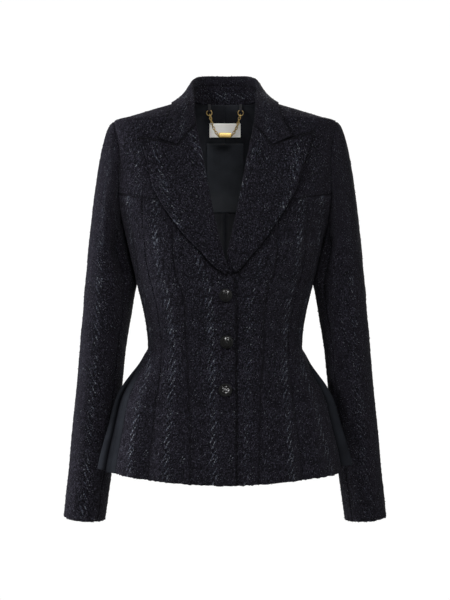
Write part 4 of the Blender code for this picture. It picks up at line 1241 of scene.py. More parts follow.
def lapel_row(station, side):
    """Points across a lapel at one station: round the roll, then over the chest to the edge."""
    at_roll, at_edge = [first + (1 - first) * station for first in LAPEL_START[side]]
    roll = np.array([LAPEL.read("roll_reach", at_roll), LAPEL.read("roll_height", at_roll)])
    edge = np.array([LAPEL.read("edge_reach", at_edge), LAPEL.read("edge_height_" + side, at_edge)])
    bent = ease((station - PEAK_BEND_FROM) / (1 - PEAK_BEND_FROM))
    peak = np.array(LAPEL_PEAK[side], float)
    edge = edge + (peak - LAPEL_ROWS[-1][3:5]) * bent
    gorge_start = np.array(LAPEL_ROWS[-1][1:3], float)
    dip = GORGE_END - (gorge_start + (peak - gorge_start) * GORGE_SHARE)
    shares = np.array((0.0,) + LAPEL_SHARES)
    kink = np.where(shares <= GORGE_SHARE, shares / GORGE_SHARE, (1 - shares) / (1 - GORGE_SHARE))
    places = roll + (edge - roll) * shares[:, None] + dip * kink[:, None] * bent
    reach, height = places.T
    angle = angle_at_reach(reach, height)
    normal = outward(angle, height)
    base = surface(angle, height) + normal * front_lift(reach, height, side)[:, None]
    way = unit(base[1] - base[0])
    length = np.linalg.norm(edge - roll)
    rolled = ease(station / ROLL_FULL_AT)
    row = []
    for flat, nose in zip(LAPEL_FLAT, LAPEL_NOSE):
        along, up = np.array(flat) + (np.array(nose) - flat) * rolled
        row.append(base[0] + way * along * min(1.0, length / NOSE_FULL_LENGTH) + normal[0] * up)
    for share, point, n in zip(LAPEL_SHARES, base[1:], normal[1:]):
        row.append(point + n * row_lift(share, rolled, length))
    return np.array(row)


def lapel_grid(side, stations):
    return np.array([lapel_row(station, side) for station in stations])


def across_grid(grid, cell):
    """A grid read finely across, on curves through its columns."""
    widest = grid[np.linalg.norm(np.diff(grid, axis=1), axis=2).sum(1).argmax()]
    return through(grid.swapaxes(0, 1), evenly(widest, cell)).swapaxes(0, 1)


def lapel(side):
    grid = across_grid(lapel_grid(side, np.linspace(0, 1, LAPEL_STATIONS)), FINE_CELL)
    tweed_sheet("lapel_" + side, grid, normals_of(grid), side, wall=LAPEL_WALL, frayed=(), finishes=FACED)


def clear_of_body(points, cloud):
    """Collar points, moved out where they would lie too near the body."""
    mirror = np.stack([np.where(points[:, 0] < 0, -1.0, 1.0), *np.ones((2, len(points)))], -1)
    own = points * mirror
    nearest = ((cloud[0][None] - own[:, None]) ** 2).sum(2).argmin(1)
    over = ((own - cloud[0][nearest]) * cloud[1][nearest]).sum(1)
    return (own + cloud[1][nearest] * np.maximum(0.0, COLLAR_CLEAR - over)[:, None]) * mirror


def collar_end(side):
    """The collar's front end, laid along the lapel's gorge and its upper edge."""
    rows = lapel_grid(side, (GORGE_NEAR, 1.0))
    top, up = rows[-1], unit(rows[-1] - rows[-2])
    row = [top[i] + up[i] * COLLAR_GAP for i in range(GORGE_POINTS)]
    peak_edge = top[GORGE_POINTS - 1:]
    for share, gap in zip(COLLAR_END_SHARES, COLLAR_END_GAPS):
        row.append(through(peak_edge, share * (len(peak_edge) - 1))[0] + up[GORGE_POINTS - 1] * gap)
    return np.array(row) * (SIDES[side], 1, 1)


def collar_section(inside, fold, belly, edge):
    """Points across the collar: up from the stand seam, over the fold and down to the edge."""
    inside, fold, belly, edge = (np.array(point, float) for point in (inside, fold, belly, edge))
    out = unit((belly - inside) * (1, 1, 0))
    over = [fold + out * along + np.array((0, 0, up)) for along, up in COLLAR_FOLD]
    return np.concatenate([[inside], over, through((fold, over[-1], belly, edge), COLLAR_SHARES)])


def collar_fall():
    """Sections of the collar's fall, from its end at one lapel round the neck to the other."""
    angles, heights = np.meshgrid(np.arange(*CLOUD_ANGLES), np.arange(*CLOUD_HEIGHTS))
    angles, heights = angles.ravel(), heights.ravel()
    cloud = surface(angles, heights), outward(angles, heights)
    half = [collar_section(*row[1:]) for row in COLLAR_ROWS]
    other_half = [section * MIRROR for section in half[:0:-1]]
    sections = [collar_end("right")] + other_half + half + [collar_end("left")]
    fall = through(sections, np.linspace(0, len(sections) - 1, COLLAR_STATIONS))
    for row in fall[1:-1]:
        row[FALL_START:] = clear_of_body(row[FALL_START:], cloud)
    return fall


def collar():
    """Fall of the collar over its fold, and the stand inside it."""
    fall = collar_fall()
    fine = across_grid(through(fall, evenly(fall[:, FALL_MIDDLE], FINE_CELL)), FINE_CELL)
    tweed_sheet("collar_fall", fine, -normals_of(fine), "", frayed=(), finishes=FACED)
    stations = np.linspace(0, 2 * len(COLLAR_ROWS), COLLAR_STATIONS)
    seams = [np.array(row[0], float) for row in COLLAR_ROWS]
    seams = [point * MIRROR for point in seams[:0:-1]] + seams
    low = through(seams, stations[slice(*STAND_STATIONS)] - 1)
    high = fall[slice(*STAND_STATIONS), 0]
    high = high - unit(high - low) * COLLAR_GAP
    low = low + (low - high) * STAND_REACH
    stand = np.stack([low, (low + high) / 2, high], 1)
    fine = across_grid(through(stand, evenly(stand[:, 1], FINE_CELL)), FINE_CELL)
    tweed_sheet("collar_stand", fine, -normals_of(fine), "", frayed=(), finishes=FACED)


def lining(side):
    """Half of the back's satin lining with the pleat of ease down its middle."""
    centre = back_lines()[0]
    edge = np.concatenate([armhole(range(360, UNDERARM_TURN - 1, -TURN_STEP)),
                           [(INSERT.read("back", h), h) for h in SIDE_HEIGHTS]])
    line, edge = centre[list(LINING_ROWS)], edge[list(LINING_ROWS)]
    line[-1] = (180, HEM_BACK + LINING_HEM_UP)
    edge[-1, 1] = HEM_SIDE + LINING_HEM_UP
    set_in = LINING_SET_IN + TWEED_WALL

    def inside(reach, height):
        return np.full_like(reach, -set_in)

    grid, normals = body_grid(ruled(line, edge, PANEL_CELLS["lining_back"]), inside, LINING_CELL)
    grid = trimmed(grid, ("left",))
    lines = []
    for points, width, depth in crease_line(LINING_CREASES, surface):
        way = outward(np.full(CREASE_POINTS, LINING_CREASE_ANGLE), points[:, 2])
        lines.append((points - way * set_in, width, depth))
    outer = grid - normals * np.maximum(0, creased(grid, lines))[..., None]
    inner = outer - normals * LINING_WALL
    cut = cut_of(grid)
    node = "lining_back_" + side
    piece = shell(node + "_satin", outer, inner, cut, ("satin_lining",), SIDES[side])
    hang(piece, node)


def label(node, finish):
    """A bare woven label on the lining."""
    top, bottom, half_width = LABEL_ROWS[node]
    set_in = TWEED_WALL + LINING_SET_IN + LINING_WALL + LABEL_SET_IN
    heights = np.linspace(top, bottom, int((top - bottom) / LABEL_CELL) + 1)
    first = angle_at_reach(np.full(len(heights), half_width), heights, back=True)
    shares = np.linspace(0, 1, int(2 * half_width / LABEL_CELL) + 1)
    angle = first[:, None] + (360 - 2 * first)[:, None] * shares
    height = np.broadcast_to(heights[:, None], angle.shape)
    normals = outward(angle, height)
    outer = surface(angle, height) - normals * set_in
    inner = outer - normals * LABEL_WALL
    cut = cut_of(outer)
    piece = shell(node + "_woven", outer, inner, cut, (finish,))
    hang(piece, node)
    return inner


def add(tree, kind, values=(), stops=(), **settings):
    """A node of a kind with its settings and a ramp's stops; gives its outputs.

    Values or links for its inputs come in order, or by name or number.
    """
    made = tree.nodes.new(kind)
    for name, value in settings.items():
        setattr(made, name, value)
    inputs = values if isinstance(values, dict) else dict(enumerate(values))
    for name, value in inputs.items():
        if isinstance(value, bpy.types.NodeSocket):
            tree.links.new(value, made.inputs[name])
        else:
            made.inputs[name].default_value = value
    for i, (place, code) in enumerate(stops):
        stop = made.color_ramp.elements[i] if i < 2 else made.color_ramp.elements.new(place)
        stop.position = place
        stop.color = colour(code)
    return made.outputs


def colour(code):
    """An sRGB hex value as linear colour."""
    parts = [int(code[i:i + 2], 16) / 255 for i in (1, 3, 5)]
    return (*[c / 12.92 if c <= 0.04045 else ((c + 0.055) / 1.055) ** 2.4 for c in parts], 1.0)


def new_material(name, uniform, varied):
    """A material whose Principled shader has uniform values on its sockets and links for what varies."""
    made = bpy.data.materials.new(name)
    made.use_nodes = True
    tree = made.node_tree
    shader = tree.nodes["Principled BSDF"]
    for socket, value in uniform.items():
        shader.inputs[socket].default_value = value
    for socket, output in varied(tree).items():
        tree.links.new(output, shader.inputs[socket])


# Kinds of node, and the numbers of a mix node's inputs and of its colour output
MATH = "ShaderNodeMath"
VECTOR = "ShaderNodeVectorMath"
NOISE = "ShaderNodeTexNoise"
VORONOI = "ShaderNodeTexVoronoi"
RANGE = "ShaderNodeMapRange"
RAMP = "ShaderNodeValToRGB"
MIX = "ShaderNodeMix"
FACTOR, FLOAT_A, FLOAT_B, COLOUR_A, COLOUR_B, COLOUR = 0, 2, 3, 6, 7, 2


def boucle_weave(tree):
    """Curled yarn as small nubs, the check's slubs as ropes of slanted strokes, metallic points, and painted
    shade from the seam mark.

    Yarn of about 1 mm is drawn as nubs 0.85 mm wide and 1.4 mm long, and the twill in lines 8.2 mm apart,
    so that they show.
    """
    uv = add(tree, "ShaderNodeUVMap", uv_map="cut")["UV"]
    flat = add(tree, VECTOR, {0: uv, "Scale": 1 / MM}, operation="SCALE")["Vector"]
    drift = add(tree, NOISE, {"Vector": flat, "Scale": 1 / NUB_DRIFT_SIZE, "Detail": 2.0})["Color"]
    drift = add(tree, VECTOR, (drift, (0.5, 0.5, 0.5)), operation="SUBTRACT")["Vector"]
    place = add(tree, VECTOR, (drift, (NUB_DRIFT, NUB_DRIFT, 0.0), flat), operation="MULTIPLY_ADD")["Vector"]
    across, down, _ = add(tree, "ShaderNodeSeparateXYZ", (place,))
    slanted = add(tree, "ShaderNodeMapping", {"Vector": place, "Rotation": (0, 0, STROKE_ANGLE)})["Vector"]
    slanted = add(tree, VECTOR, (slanted, (1 / NUB_LENGTH, 1 / NUB_WIDTH, 1.0)),
                  operation="MULTIPLY")["Vector"]
    nubs = add(tree, VORONOI, {"Vector": slanted, "Scale": 1.0}, voronoi_dimensions="2D")
    pick = add(tree, "ShaderNodeSeparateColor", (nubs["Color"],))
    steep = add(tree, MATH, (across, math.tan(STROKE_ANGLE), down), operation="MULTIPLY_ADD")[0]
    stroke = add(tree, MATH, (steep, STROKE_PITCH / 2), operation="PINGPONG")[0]
    stroke = add(tree, RANGE, (stroke, *STROKE_FADE))[0]
    twill = add(tree, MATH, (steep, 2 * math.pi / TWILL), operation="MULTIPLY")[0]
    twill = add(tree, MATH, (twill,), operation="SINE")[0]
    warp = add(tree, MATH, (across, CHECK_ACROSS / 2), operation="PINGPONG")[0]
    warp = add(tree, RANGE, (warp, *WARP_FADE))[0]
    weft = add(tree, MATH, (down, CHECK_DOWN_AT), operation="SUBTRACT")[0]
    weft = add(tree, MATH, (weft, CHECK_DOWN / 2), operation="PINGPONG")[0]
    weft = add(tree, RANGE, (weft, *WEFT_FADE))[0]
    stroke = add(tree, MATH, (weft, WEFT_FILL, stroke), operation="MULTIPLY_ADD", use_clamp=True)[0]
    patchy = add(tree, NOISE, {"Vector": flat, "Scale": 1 / PATCH_SIZE, "Detail": 1.0})["Fac"]
    patchy = add(tree, RANGE, (patchy, *PATCH_FADE, PATCH_LEAST))[0]
    rope = add(tree, MATH, (stroke, warp), operation="MULTIPLY")[0]
    rope = add(tree, MATH, (weft, WEFT_SHARE, rope), operation="MULTIPLY_ADD")[0]
    rope = add(tree, MATH, (rope, patchy), operation="MULTIPLY")[0]
    share = add(tree, "ShaderNodeAttribute", attribute_name="slubs")["Fac"]
    rope = add(tree, MATH, (rope, share), operation="MULTIPLY")[0]
    lift = add(tree, MATH, (twill, TWILL_SHARE, pick["Red"]), operation="MULTIPLY_ADD")[0]
    lift = add(tree, MATH, (rope, ROPE_SHARE, lift), operation="MULTIPLY_ADD")[0]
    slub = add(tree, RANGE, (lift, *SLUB_FADE))[0]
    ground = add(tree, RAMP, (pick["Green"],), TWEED_GROUND)[0]
    bright = add(tree, RAMP, (pick["Blue"],), TWEED_SLUBS)[0]
    cloth = add(tree, MIX, {FACTOR: slub, COLOUR_A: ground, COLOUR_B: bright}, data_type="RGBA")[COLOUR]
    points = add(tree, VORONOI, {"Vector": flat, "Scale": 1 / POINT_SPACING}, voronoi_dimensions="2D")
    chance = add(tree, "ShaderNodeSeparateColor", (points["Color"],))["Red"]
    chance = add(tree, MATH, (chance, POINT_ABOVE), operation="GREATER_THAN")[0]
    point = add(tree, MATH, (points["Distance"], POINT_RADIUS), operation="LESS_THAN")[0]
    point = add(tree, MATH, (point, chance), operation="MULTIPLY")[0]
    cloth = add(tree, MIX, {FACTOR: point, COLOUR_A: cloth, COLOUR_B: colour("#6a6c70")},
                data_type="RGBA")[COLOUR]
    # Painted shade: the seam mark blends the cloth towards black at seams, along dark edges and under
    # overlying edges
    seam = add(tree, "ShaderNodeAttribute", attribute_name="seam")["Fac"]
    cloth = add(tree, MIX, {FACTOR: seam, COLOUR_A: cloth, COLOUR_B: colour("#030304")},
                data_type="RGBA")[COLOUR]
    shine = add(tree, MATH, (point, POINT_GLOSS, TWEED_ROUGHNESS), operation="MULTIPLY_ADD")[0]
    shine = add(tree, MATH, (slub, SLUB_GLOSS, shine), operation="MULTIPLY_ADD")[0]
    fibre = add(tree, NOISE, {"Vector": flat, "Scale": 1 / FIBRE_SIZE, "Detail": 3.0})["Fac"]
    relief = add(tree, MATH, (fibre, FIBRE_SHARE, 1.0), operation="MULTIPLY_ADD")[0]
    relief = add(tree, MATH, (relief, nubs["Distance"]), operation="SUBTRACT")[0]
    bump = add(tree, "ShaderNodeBump",
               {"Strength": 1.0, "Distance": TWEED_RELIEF * MM, "Height": relief})["Normal"]
    return {"Base Color": cloth, "Roughness": shine, "Metallic": point, "Normal": bump}


def smooth_weave(codes, thread_mm, roughness, relief_mm):
    """Fine threads with soft drifts of colour and gloss, drawn 0.8 to 1.1 mm apart so that they show, and
    painted shade from the seam mark.
    """
    def varied(tree):
        uv = add(tree, "ShaderNodeUVMap", uv_map="cut")["UV"]
        flat = add(tree, VECTOR, {0: uv, "Scale": 1 / MM}, operation="SCALE")["Vector"]
        turns = add(tree, VECTOR, {0: flat, "Scale": 2 * math.pi / thread_mm}, operation="SCALE")["Vector"]
        turns = add(tree, VECTOR, (turns,), operation="SINE")["Vector"]
        warp, weft, _ = add(tree, "ShaderNodeSeparateXYZ", (turns,))
        weave = add(tree, MATH, (warp, weft), operation="MULTIPLY")[0]
        drift = add(tree, NOISE, {"Vector": flat, "Scale": 1 / CLOTH_DRIFT, "Detail": 4.0})["Fac"]
        grain = add(tree, NOISE, {"Vector": flat, "Scale": 1 / CLOTH_GRAIN, "Detail": 2.0})["Fac"]
        shade = add(tree, MIX, {FACTOR: CLOTH_GRAIN_SHARE, FLOAT_A: drift, FLOAT_B: grain})[0]
        tone = add(tree, RAMP, (shade,), zip(TONE_STOPS, codes))[0]
        # Painted shade: the seam mark blends the cloth towards black in the valleys of pleats
        fold = add(tree, "ShaderNodeAttribute", attribute_name="seam")["Fac"]
        tone = add(tree, MIX, {FACTOR: fold, COLOUR_A: tone, COLOUR_B: colour("#020203")},
                   data_type="RGBA")[COLOUR]
        gloss = add(tree, MATH, (drift, GLOSS_SWING, roughness - GLOSS_SWING / 2),
                    operation="MULTIPLY_ADD")[0]
        relief = add(tree, MATH, (weave, 0.5, grain), operation="MULTIPLY_ADD")[0]
        bump = add(tree, "ShaderNodeBump",
                   {"Strength": 0.5, "Distance": relief_mm * MM, "Height": relief})["Normal"]
        return {"Base Color": tone, "Roughness": gloss, "Normal": bump}
    return varied


def cast_surface(codes, grain_mm, smoothest, spread):
    """Fine grain left by casting and handling, in tone and in gloss."""
    def varied(tree):
        place = add(tree, "ShaderNodeTexCoord")["Object"]
        grain = add(tree, NOISE, {"Vector": place, "Scale": 1 / (grain_mm * MM), "Detail": 3.0})["Fac"]
        tone = add(tree, RAMP, (grain,), zip(TONE_STOPS, codes))[0]
        gloss = add(tree, MATH, (grain, spread, smoothest), operation="MULTIPLY_ADD")[0]
        return {"Base Color": tone, "Roughness": gloss}
    return varied


def polished_resin(tree):
    """Cast resin, polished on the dome, dull and black in the groove round it."""
    polish = add(tree, "ShaderNodeAttribute", attribute_name="polish")["Fac"]
    cast = cast_surface(("#010101", "#050505"), grain_mm=0.8, smoothest=0.06, spread=0.14)(tree)
    tone = add(tree, MIX, {FACTOR: polish, COLOUR_A: colour("#010101"), COLOUR_B: cast["Base Color"]},
               data_type="RGBA")[COLOUR]
    dull = add(tree, MIX, {FACTOR: polish, FLOAT_A: BUTTON_DULL, FLOAT_B: cast["Roughness"]})[0]
    return {"Base Color": tone, "Roughness": dull}


def floor_glow(tree):
    """Matt white under the jacket, passing into the white of the backdrop."""
    place = add(tree, "ShaderNodeTexCoord")["Object"]
    away = add(tree, VECTOR, (place, (0.0, 0.0, FLOOR_Z)), operation="DISTANCE")["Value"]
    edge = add(tree, RANGE, (away, *FLOOR_GLOW), interpolation_type="SMOOTHSTEP")[0]
    paint = add(tree, RAMP, (edge,), ((0.0, "#f2f2f1"), (1.0, "#000000")))[0]
    return {"Base Color": paint, "Emission Strength": edge}


def backdrop_glow(tree):
    """Evenly lit white sheet."""
    place = add(tree, "ShaderNodeTexCoord")["Object"]
    drift = add(tree, NOISE, {"Vector": place, "Scale": 0.2})["Fac"]
    return {"Emission Strength": add(tree, MATH, (drift, BACKDROP_DRIFT, 1.0), operation="MULTIPLY_ADD")[0]}


def make_materials():
    # Wool boucle tweed, woven from curled yarn: a matt, nubby black with slanted grey dashes, bright points
    new_material("boucle_tweed", {"Specular IOR Level": 0.05, "Sheen Weight": 0.02, "Sheen Roughness": 0.4,
                                  "Sheen Tint": colour("#d9d6ea")}, boucle_weave)
    # Acetate satin, woven with long floats: a smooth deep black that catches a soft broad gleam
    new_material("satin_lining", {"Specular IOR Level": 0.08},
                 smooth_weave(("#15161a", "#202226"), thread_mm=1.1, roughness=0.5, relief_mm=0.05))
    # Wool crepe, plain woven from twisted yarn and pressed into pleats: an even, dry black
    new_material("crepe_cloth", {"Specular IOR Level": 0.02},
                 smooth_weave(("#101114", "#191b1f"), thread_mm=0.9, roughness=0.8, relief_mm=0.12))
    # Damask-woven polyester label: a fine bright white with a dull gleam
    new_material("white_woven_label", {"Specular IOR Level": 0.3},
                 smooth_weave(("#f2efe9", "#fbfaf7"), thread_mm=0.8, roughness=0.6, relief_mm=0.08))
    # Satin ribbon label: dark grey, smoother and lighter than the lining under it
    new_material("dark_satin_label", {"Specular IOR Level": 0.1},
                 smooth_weave(("#1e2024", "#2a2d32"), thread_mm=0.9, roughness=0.5, relief_mm=0.05))
    # Woven polyester tape: a dull, finely ribbed black
    new_material("black_woven_tape", {"Specular IOR Level": 0.3},
                 smooth_weave(("#0e0e10", "#1a1a1d"), thread_mm=0.8, roughness=0.7, relief_mm=0.15))
    # Sewing thread of twisted polyester: fine and softly bright, drawn 0.5 mm thick so that it shows
    new_material("white_thread", {},
                 cast_surface(("#dedcd6", "#f7f6f2"), grain_mm=0.6, smoothest=0.5, spread=0.2))
    # The same thread in black: a fine line with a faint gleam
    new_material("black_thread", {},
                 cast_surface(("#0c0c0e", "#1d1d20"), grain_mm=0.6, smoothest=0.5, spread=0.2))
    # Curled wool yarn, spun in loops: a soft matt black that turns grey where it catches light
    new_material("boucle_yarn", {"Specular IOR Level": 0.1},
                 cast_surface(("#070609", "#1a191f"), grain_mm=2.0, smoothest=0.75, spread=0.2))
    # Gold-plated brass, bent from wire and stamped, then polished: bright and warm, with handling marks
    new_material("gold_plated_brass", {"Metallic": 1.0},
                 cast_surface(("#9f8143", "#d2b97e"), grain_mm=1.1, smoothest=0.3, spread=0.2))
    # Resin cast in a hammered mould and polished: deep black gloss with broken highlights
    new_material("hammered_black_resin", {"Specular IOR Level": 0.5}, polished_resin)
    # Matt emulsion on a studio floor: white without a shine; paper lit evenly from behind: plain white
    white = {"Emission Color": (1.0, 1.0, 1.0, 1.0), "Specular IOR Level": 0.0, "Roughness": 1.0}
    new_material("matt_white_floor", white, floor_glow)
    new_material("lit_white_paper", {**white, "Base Color": (0.0, 0.0, 0.0, 1.0)}, backdrop_glow)


def grid_mesh(name, grid, finish, caps=False):
    """A mesh from rows of points that go round, its ends closed where asked."""
    rows, columns = grid.shape[:2]
    index = np.arange(rows * columns).reshape(rows, columns)
    ahead = np.roll(index, -1, axis=1)
    faces = np.stack([index[:-1], ahead[:-1], ahead[1:], index[1:]], -1).reshape(-1, 4).tolist()
    if caps:
        faces += [index[0][::-1].tolist(), index[-1].tolist()]
    mesh = bpy.data.meshes.new(name)
    mesh.from_pydata((grid.reshape(-1, 3) * MM).tolist(), [], faces)
    mesh.materials.append(material_of(finish))
    mesh.shade_smooth()
    mesh.set_sharp_from_angle(angle=SHARP_ANGLE)
    mesh.update()
    return link_object(name, mesh)


def whole_turn(count):
    return np.linspace(0, 2 * math.pi, count, endpoint=False)


def button(node):
    """A turned button with a rim and a hammered dome."""
    reach, height, seat = BUTTON_ROWS[node]
    angle = angle_at_reach(np.array(float(reach)), np.array(float(height)))
    out = outward(angle, height)
    centre = surface(angle, height) + out * seat
    across = unit(np.cross((0, 0, 1), out))
    up = np.cross(out, across)
    profile = np.array(BUTTON_PROFILE, float)
    profile = through(profile, evenly(profile, BUTTON_CELL))
    profile[0, 0] = profile[-1, 0] = BUTTON_CENTRE
    turns = whole_turn(BUTTON_POINTS)
    flat = np.stack([profile[:, 0, None] * np.cos(turns), profile[:, 0, None] * np.sin(turns)], -1)
    rng = np.random.default_rng(SEED + sum(map(ord, node)))
    dents = rng.uniform(-1, 1, (BUTTON_DENTS * 3, 2)) * BUTTON_DENT_SPREAD
    dents = dents[np.linalg.norm(dents, axis=1) < BUTTON_DENT_REACH][:BUTTON_DENTS]
    gap = np.linalg.norm(flat[:, :, None] - dents, axis=3)
    depth = rng.uniform(0.5, 1.0, len(dents)) * BUTTON_DENT_DEPTH
    dent = (depth * nearness(gap, BUTTON_DENT_WIDTH)).max(2)
    over = profile[:, 1, None]
    upper = np.arange(len(profile))[:, None] > len(profile) // 2
    over = over - dent * (ease((over - BUTTON_DENT_FROM) / BUTTON_DENT_FADE) * upper)
    grid = centre + out * over[..., None] + across * flat[..., :1] + up * flat[..., 1:]
    piece = grid_mesh(node + "_resin", grid[::-1], "hammered_black_resin", caps=True)
    gloss = 1 - ease((profile[::-1, :1] - BUTTON_DULL_FROM) / BUTTON_DULL_WIDTH)
    mark = piece.data.attributes.new("polish", "FLOAT", "POINT")
    mark.data.foreach_set("value", np.repeat(gloss, len(turns), axis=1).ravel())
    stand_for(piece, node, "jacket")


def wire_ring(line, radius, sides):
    """Rows of points round a closed line of points."""
    way = unit(np.roll(line, -1, axis=0) - np.roll(line, 1, axis=0))
    flat = np.array((0.0, 1.0, 0.0))
    across = unit(np.cross(way, flat))
    turns = whole_turn(sides)[None, :, None]
    grid = line[:, None] + radius * (np.cos(turns) * flat + np.sin(turns) * across[:, None])
    return np.concatenate([grid, grid[:1]])


def hanger_ring(side):
    """A ring bent from wire, from which a chain hangs."""
    turns = whole_turn(RING_POINTS)
    x = SIDES[side] * (HANGER_REACH + RING_RADIUS * np.cos(turns))
    z = HANGER_Z - RING_RADIUS + RING_RADIUS * np.sin(turns)
    line = np.stack([x, np.full(RING_POINTS, HANGER_Y), z], -1)
    node = "hanger_ring_" + side
    piece = grid_mesh(node + "_gold", wire_ring(line, RING_WIRE, RING_SIDES), "gold_plated_brass")
    stand_for(piece, node, "hanger")


def geometry_tree(name, sockets):
    """An empty node tree with a geometry input, named inputs and a geometry output."""
    tree = bpy.data.node_groups.new(name, "GeometryNodeTree")
    tree.interface.new_socket("Geometry", in_out="INPUT", socket_type="NodeSocketGeometry")
    for socket, kind in sockets.items():
        tree.interface.new_socket(socket, in_out="INPUT", socket_type="NodeSocket" + kind)
    tree.interface.new_socket("Geometry", in_out="OUTPUT", socket_type="NodeSocketGeometry")
    return tree, add(tree, "NodeGroupInput")


def end_tree(tree, instances, finish):
    """The end of a node tree: its instances made real in their material."""
    solid = add(tree, "GeometryNodeRealizeInstances", {"Geometry": instances})["Geometry"]
    done = add(tree, "GeometryNodeSetMaterial", {"Geometry": solid, "Material": finish})["Geometry"]
    add(tree, "NodeGroupOutput", {"Geometry": done})
    return tree


def along_line(tree, given):
    """Points a pitch apart along a curve, and the turn that faces each along it."""
    points = add(tree, "GeometryNodeResampleCurve", {"Curve": given["Geometry"], "Length": given["Pitch"]},
                 mode="LENGTH")["Curve"]
    tangent = add(tree, "GeometryNodeInputTangent")["Tangent"]
    return points, add(tree, "FunctionNodeAlignRotationToVector", {"Vector": tangent}, axis="X")["Rotation"]


def finished_mesh(name, thing, tree, values):
    """The plain mesh that a node tree makes of an object, which is then removed."""
    modifier = thing.modifiers.new(tree.name, "NODES")
    modifier.node_group = tree
    for item in tree.interface.items_tree:
        if item.in_out == "INPUT" and item.name in values:
            modifier[item.identifier] = values[item.name]
    bpy.context.view_layer.update()
    graph = bpy.context.evaluated_depsgraph_get()
    mesh = bpy.data.meshes.new_from_object(thing.evaluated_get(graph))
    mesh.name = name
    bpy.data.objects.remove(thing, do_unlink=True)
    mesh.shade_smooth()
    return link_object(name, mesh)


def line_object(name, lines):
    """Poly curves along lines of points in millimetres."""
    curve = bpy.data.curves.new(name, "CURVE")
    curve.dimensions = "3D"
    for line in lines:
        spline = curve.splines.new("POLY")
        spline.points.add(len(line) - 1)
        spline.points.foreach_set("co", np.c_[line * MM, np.ones(len(line))].ravel())
    return link_object(name, curve)


def chain_tree():
    """Oval links along a curve, each turned a quarter from the last so that they hold each other."""
    tree, given = geometry_tree("chain_links", {"Pitch": "Float", "Length": "Float", "Width": "Float",
                                                "Wire": "Float", "Finish": "Material"})
    points, facing = along_line(tree, given)
    circle = add(tree, "GeometryNodeCurvePrimitiveCircle",
                 {"Resolution": LINK_POINTS, "Radius": 0.5})["Curve"]
    size = add(tree, "ShaderNodeCombineXYZ", {"X": given["Length"], "Y": given["Width"], "Z": 1.0})["Vector"]
    oval = add(tree, "GeometryNodeTransform", {"Geometry": circle, "Scale": size})["Geometry"]
    wire = add(tree, "GeometryNodeCurvePrimitiveCircle",
               {"Resolution": LINK_SIDES, "Radius": given["Wire"]})["Curve"]
    link = add(tree, "GeometryNodeCurveToMesh", {"Curve": oval, "Profile Curve": wire})["Mesh"]
    place = add(tree, "GeometryNodeInputIndex")["Index"]
    odd = add(tree, MATH, (place, 2.0), operation="MODULO")[0]
    roll = add(tree, MATH, (odd, math.pi / 2, LINK_TWIST), operation="MULTIPLY_ADD")[0]
    spin = add(tree, "FunctionNodeAxisAngleToRotation", {"Axis": (1.0, 0.0, 0.0), "Angle": roll})["Rotation"]
    turned = add(tree, "FunctionNodeRotateRotation", {"Rotation": facing, "Rotate By": spin},
                 rotation_space="LOCAL")["Rotation"]
    links = add(tree, "GeometryNodeInstanceOnPoints",
                {"Points": points, "Instance": link, "Rotation": turned})["Instances"]
    return end_tree(tree, links, given["Finish"])


def loop_tree():
    """Loops of curled yarn standing off a cloth, as many as its fray mark asks."""
    tree, given = geometry_tree("yarn_loops", {"Density": "Float", "Radius": "Float", "Yarn": "Float",
                                               "Seed": "Int", "Finish": "Material"})
    fray = add(tree, "GeometryNodeInputNamedAttribute", {"Name": "fray"}, data_type="FLOAT")["Attribute"]
    density = add(tree, MATH, (fray, given["Density"]), operation="MULTIPLY")[0]
    spots = add(tree, "GeometryNodeDistributePointsOnFaces",
                {"Mesh": given["Geometry"], "Density": density, "Seed": given["Seed"]})
    bow = add(tree, "GeometryNodeCurveArc",
              {"Resolution": LOOP_POINTS, "Radius": given["Radius"], "Start Angle": -LOOP_CLOSES,
               "Sweep Angle": math.pi + 2 * LOOP_CLOSES})["Curve"]
    upright = add(tree, "GeometryNodeTransform",
                  {"Geometry": bow, "Rotation": (math.pi / 2, 0.0, 0.0)})["Geometry"]
    yarn = add(tree, "GeometryNodeCurvePrimitiveCircle",
               {"Resolution": LOOP_SIDES, "Radius": given["Yarn"]})["Curve"]
    loop = add(tree, "GeometryNodeCurveToMesh", {"Curve": upright, "Profile Curve": yarn})["Mesh"]
    lean = add(tree, "FunctionNodeRandomValue",
               {0: (-LOOP_LEAN, -LOOP_LEAN, 0.0), 1: (LOOP_LEAN, LOOP_LEAN, 2 * math.pi),
                "Seed": given["Seed"]}, data_type="FLOAT_VECTOR")[0]
    lean = add(tree, "FunctionNodeEulerToRotation", {"Euler": lean})["Rotation"]
    turned = add(tree, "FunctionNodeRotateRotation", {"Rotation": spots["Rotation"], "Rotate By": lean},
                 rotation_space="LOCAL")["Rotation"]
    size = add(tree, "FunctionNodeRandomValue", {2: LOOP_SIZES[0], 3: LOOP_SIZES[1], "Seed": given["Seed"]},
               data_type="FLOAT")[1]
    loops = add(tree, "GeometryNodeInstanceOnPoints",
                {"Points": spots["Points"], "Instance": loop, "Rotation": turned, "Scale": size})["Instances"]
    return end_tree(tree, loops, given["Finish"])


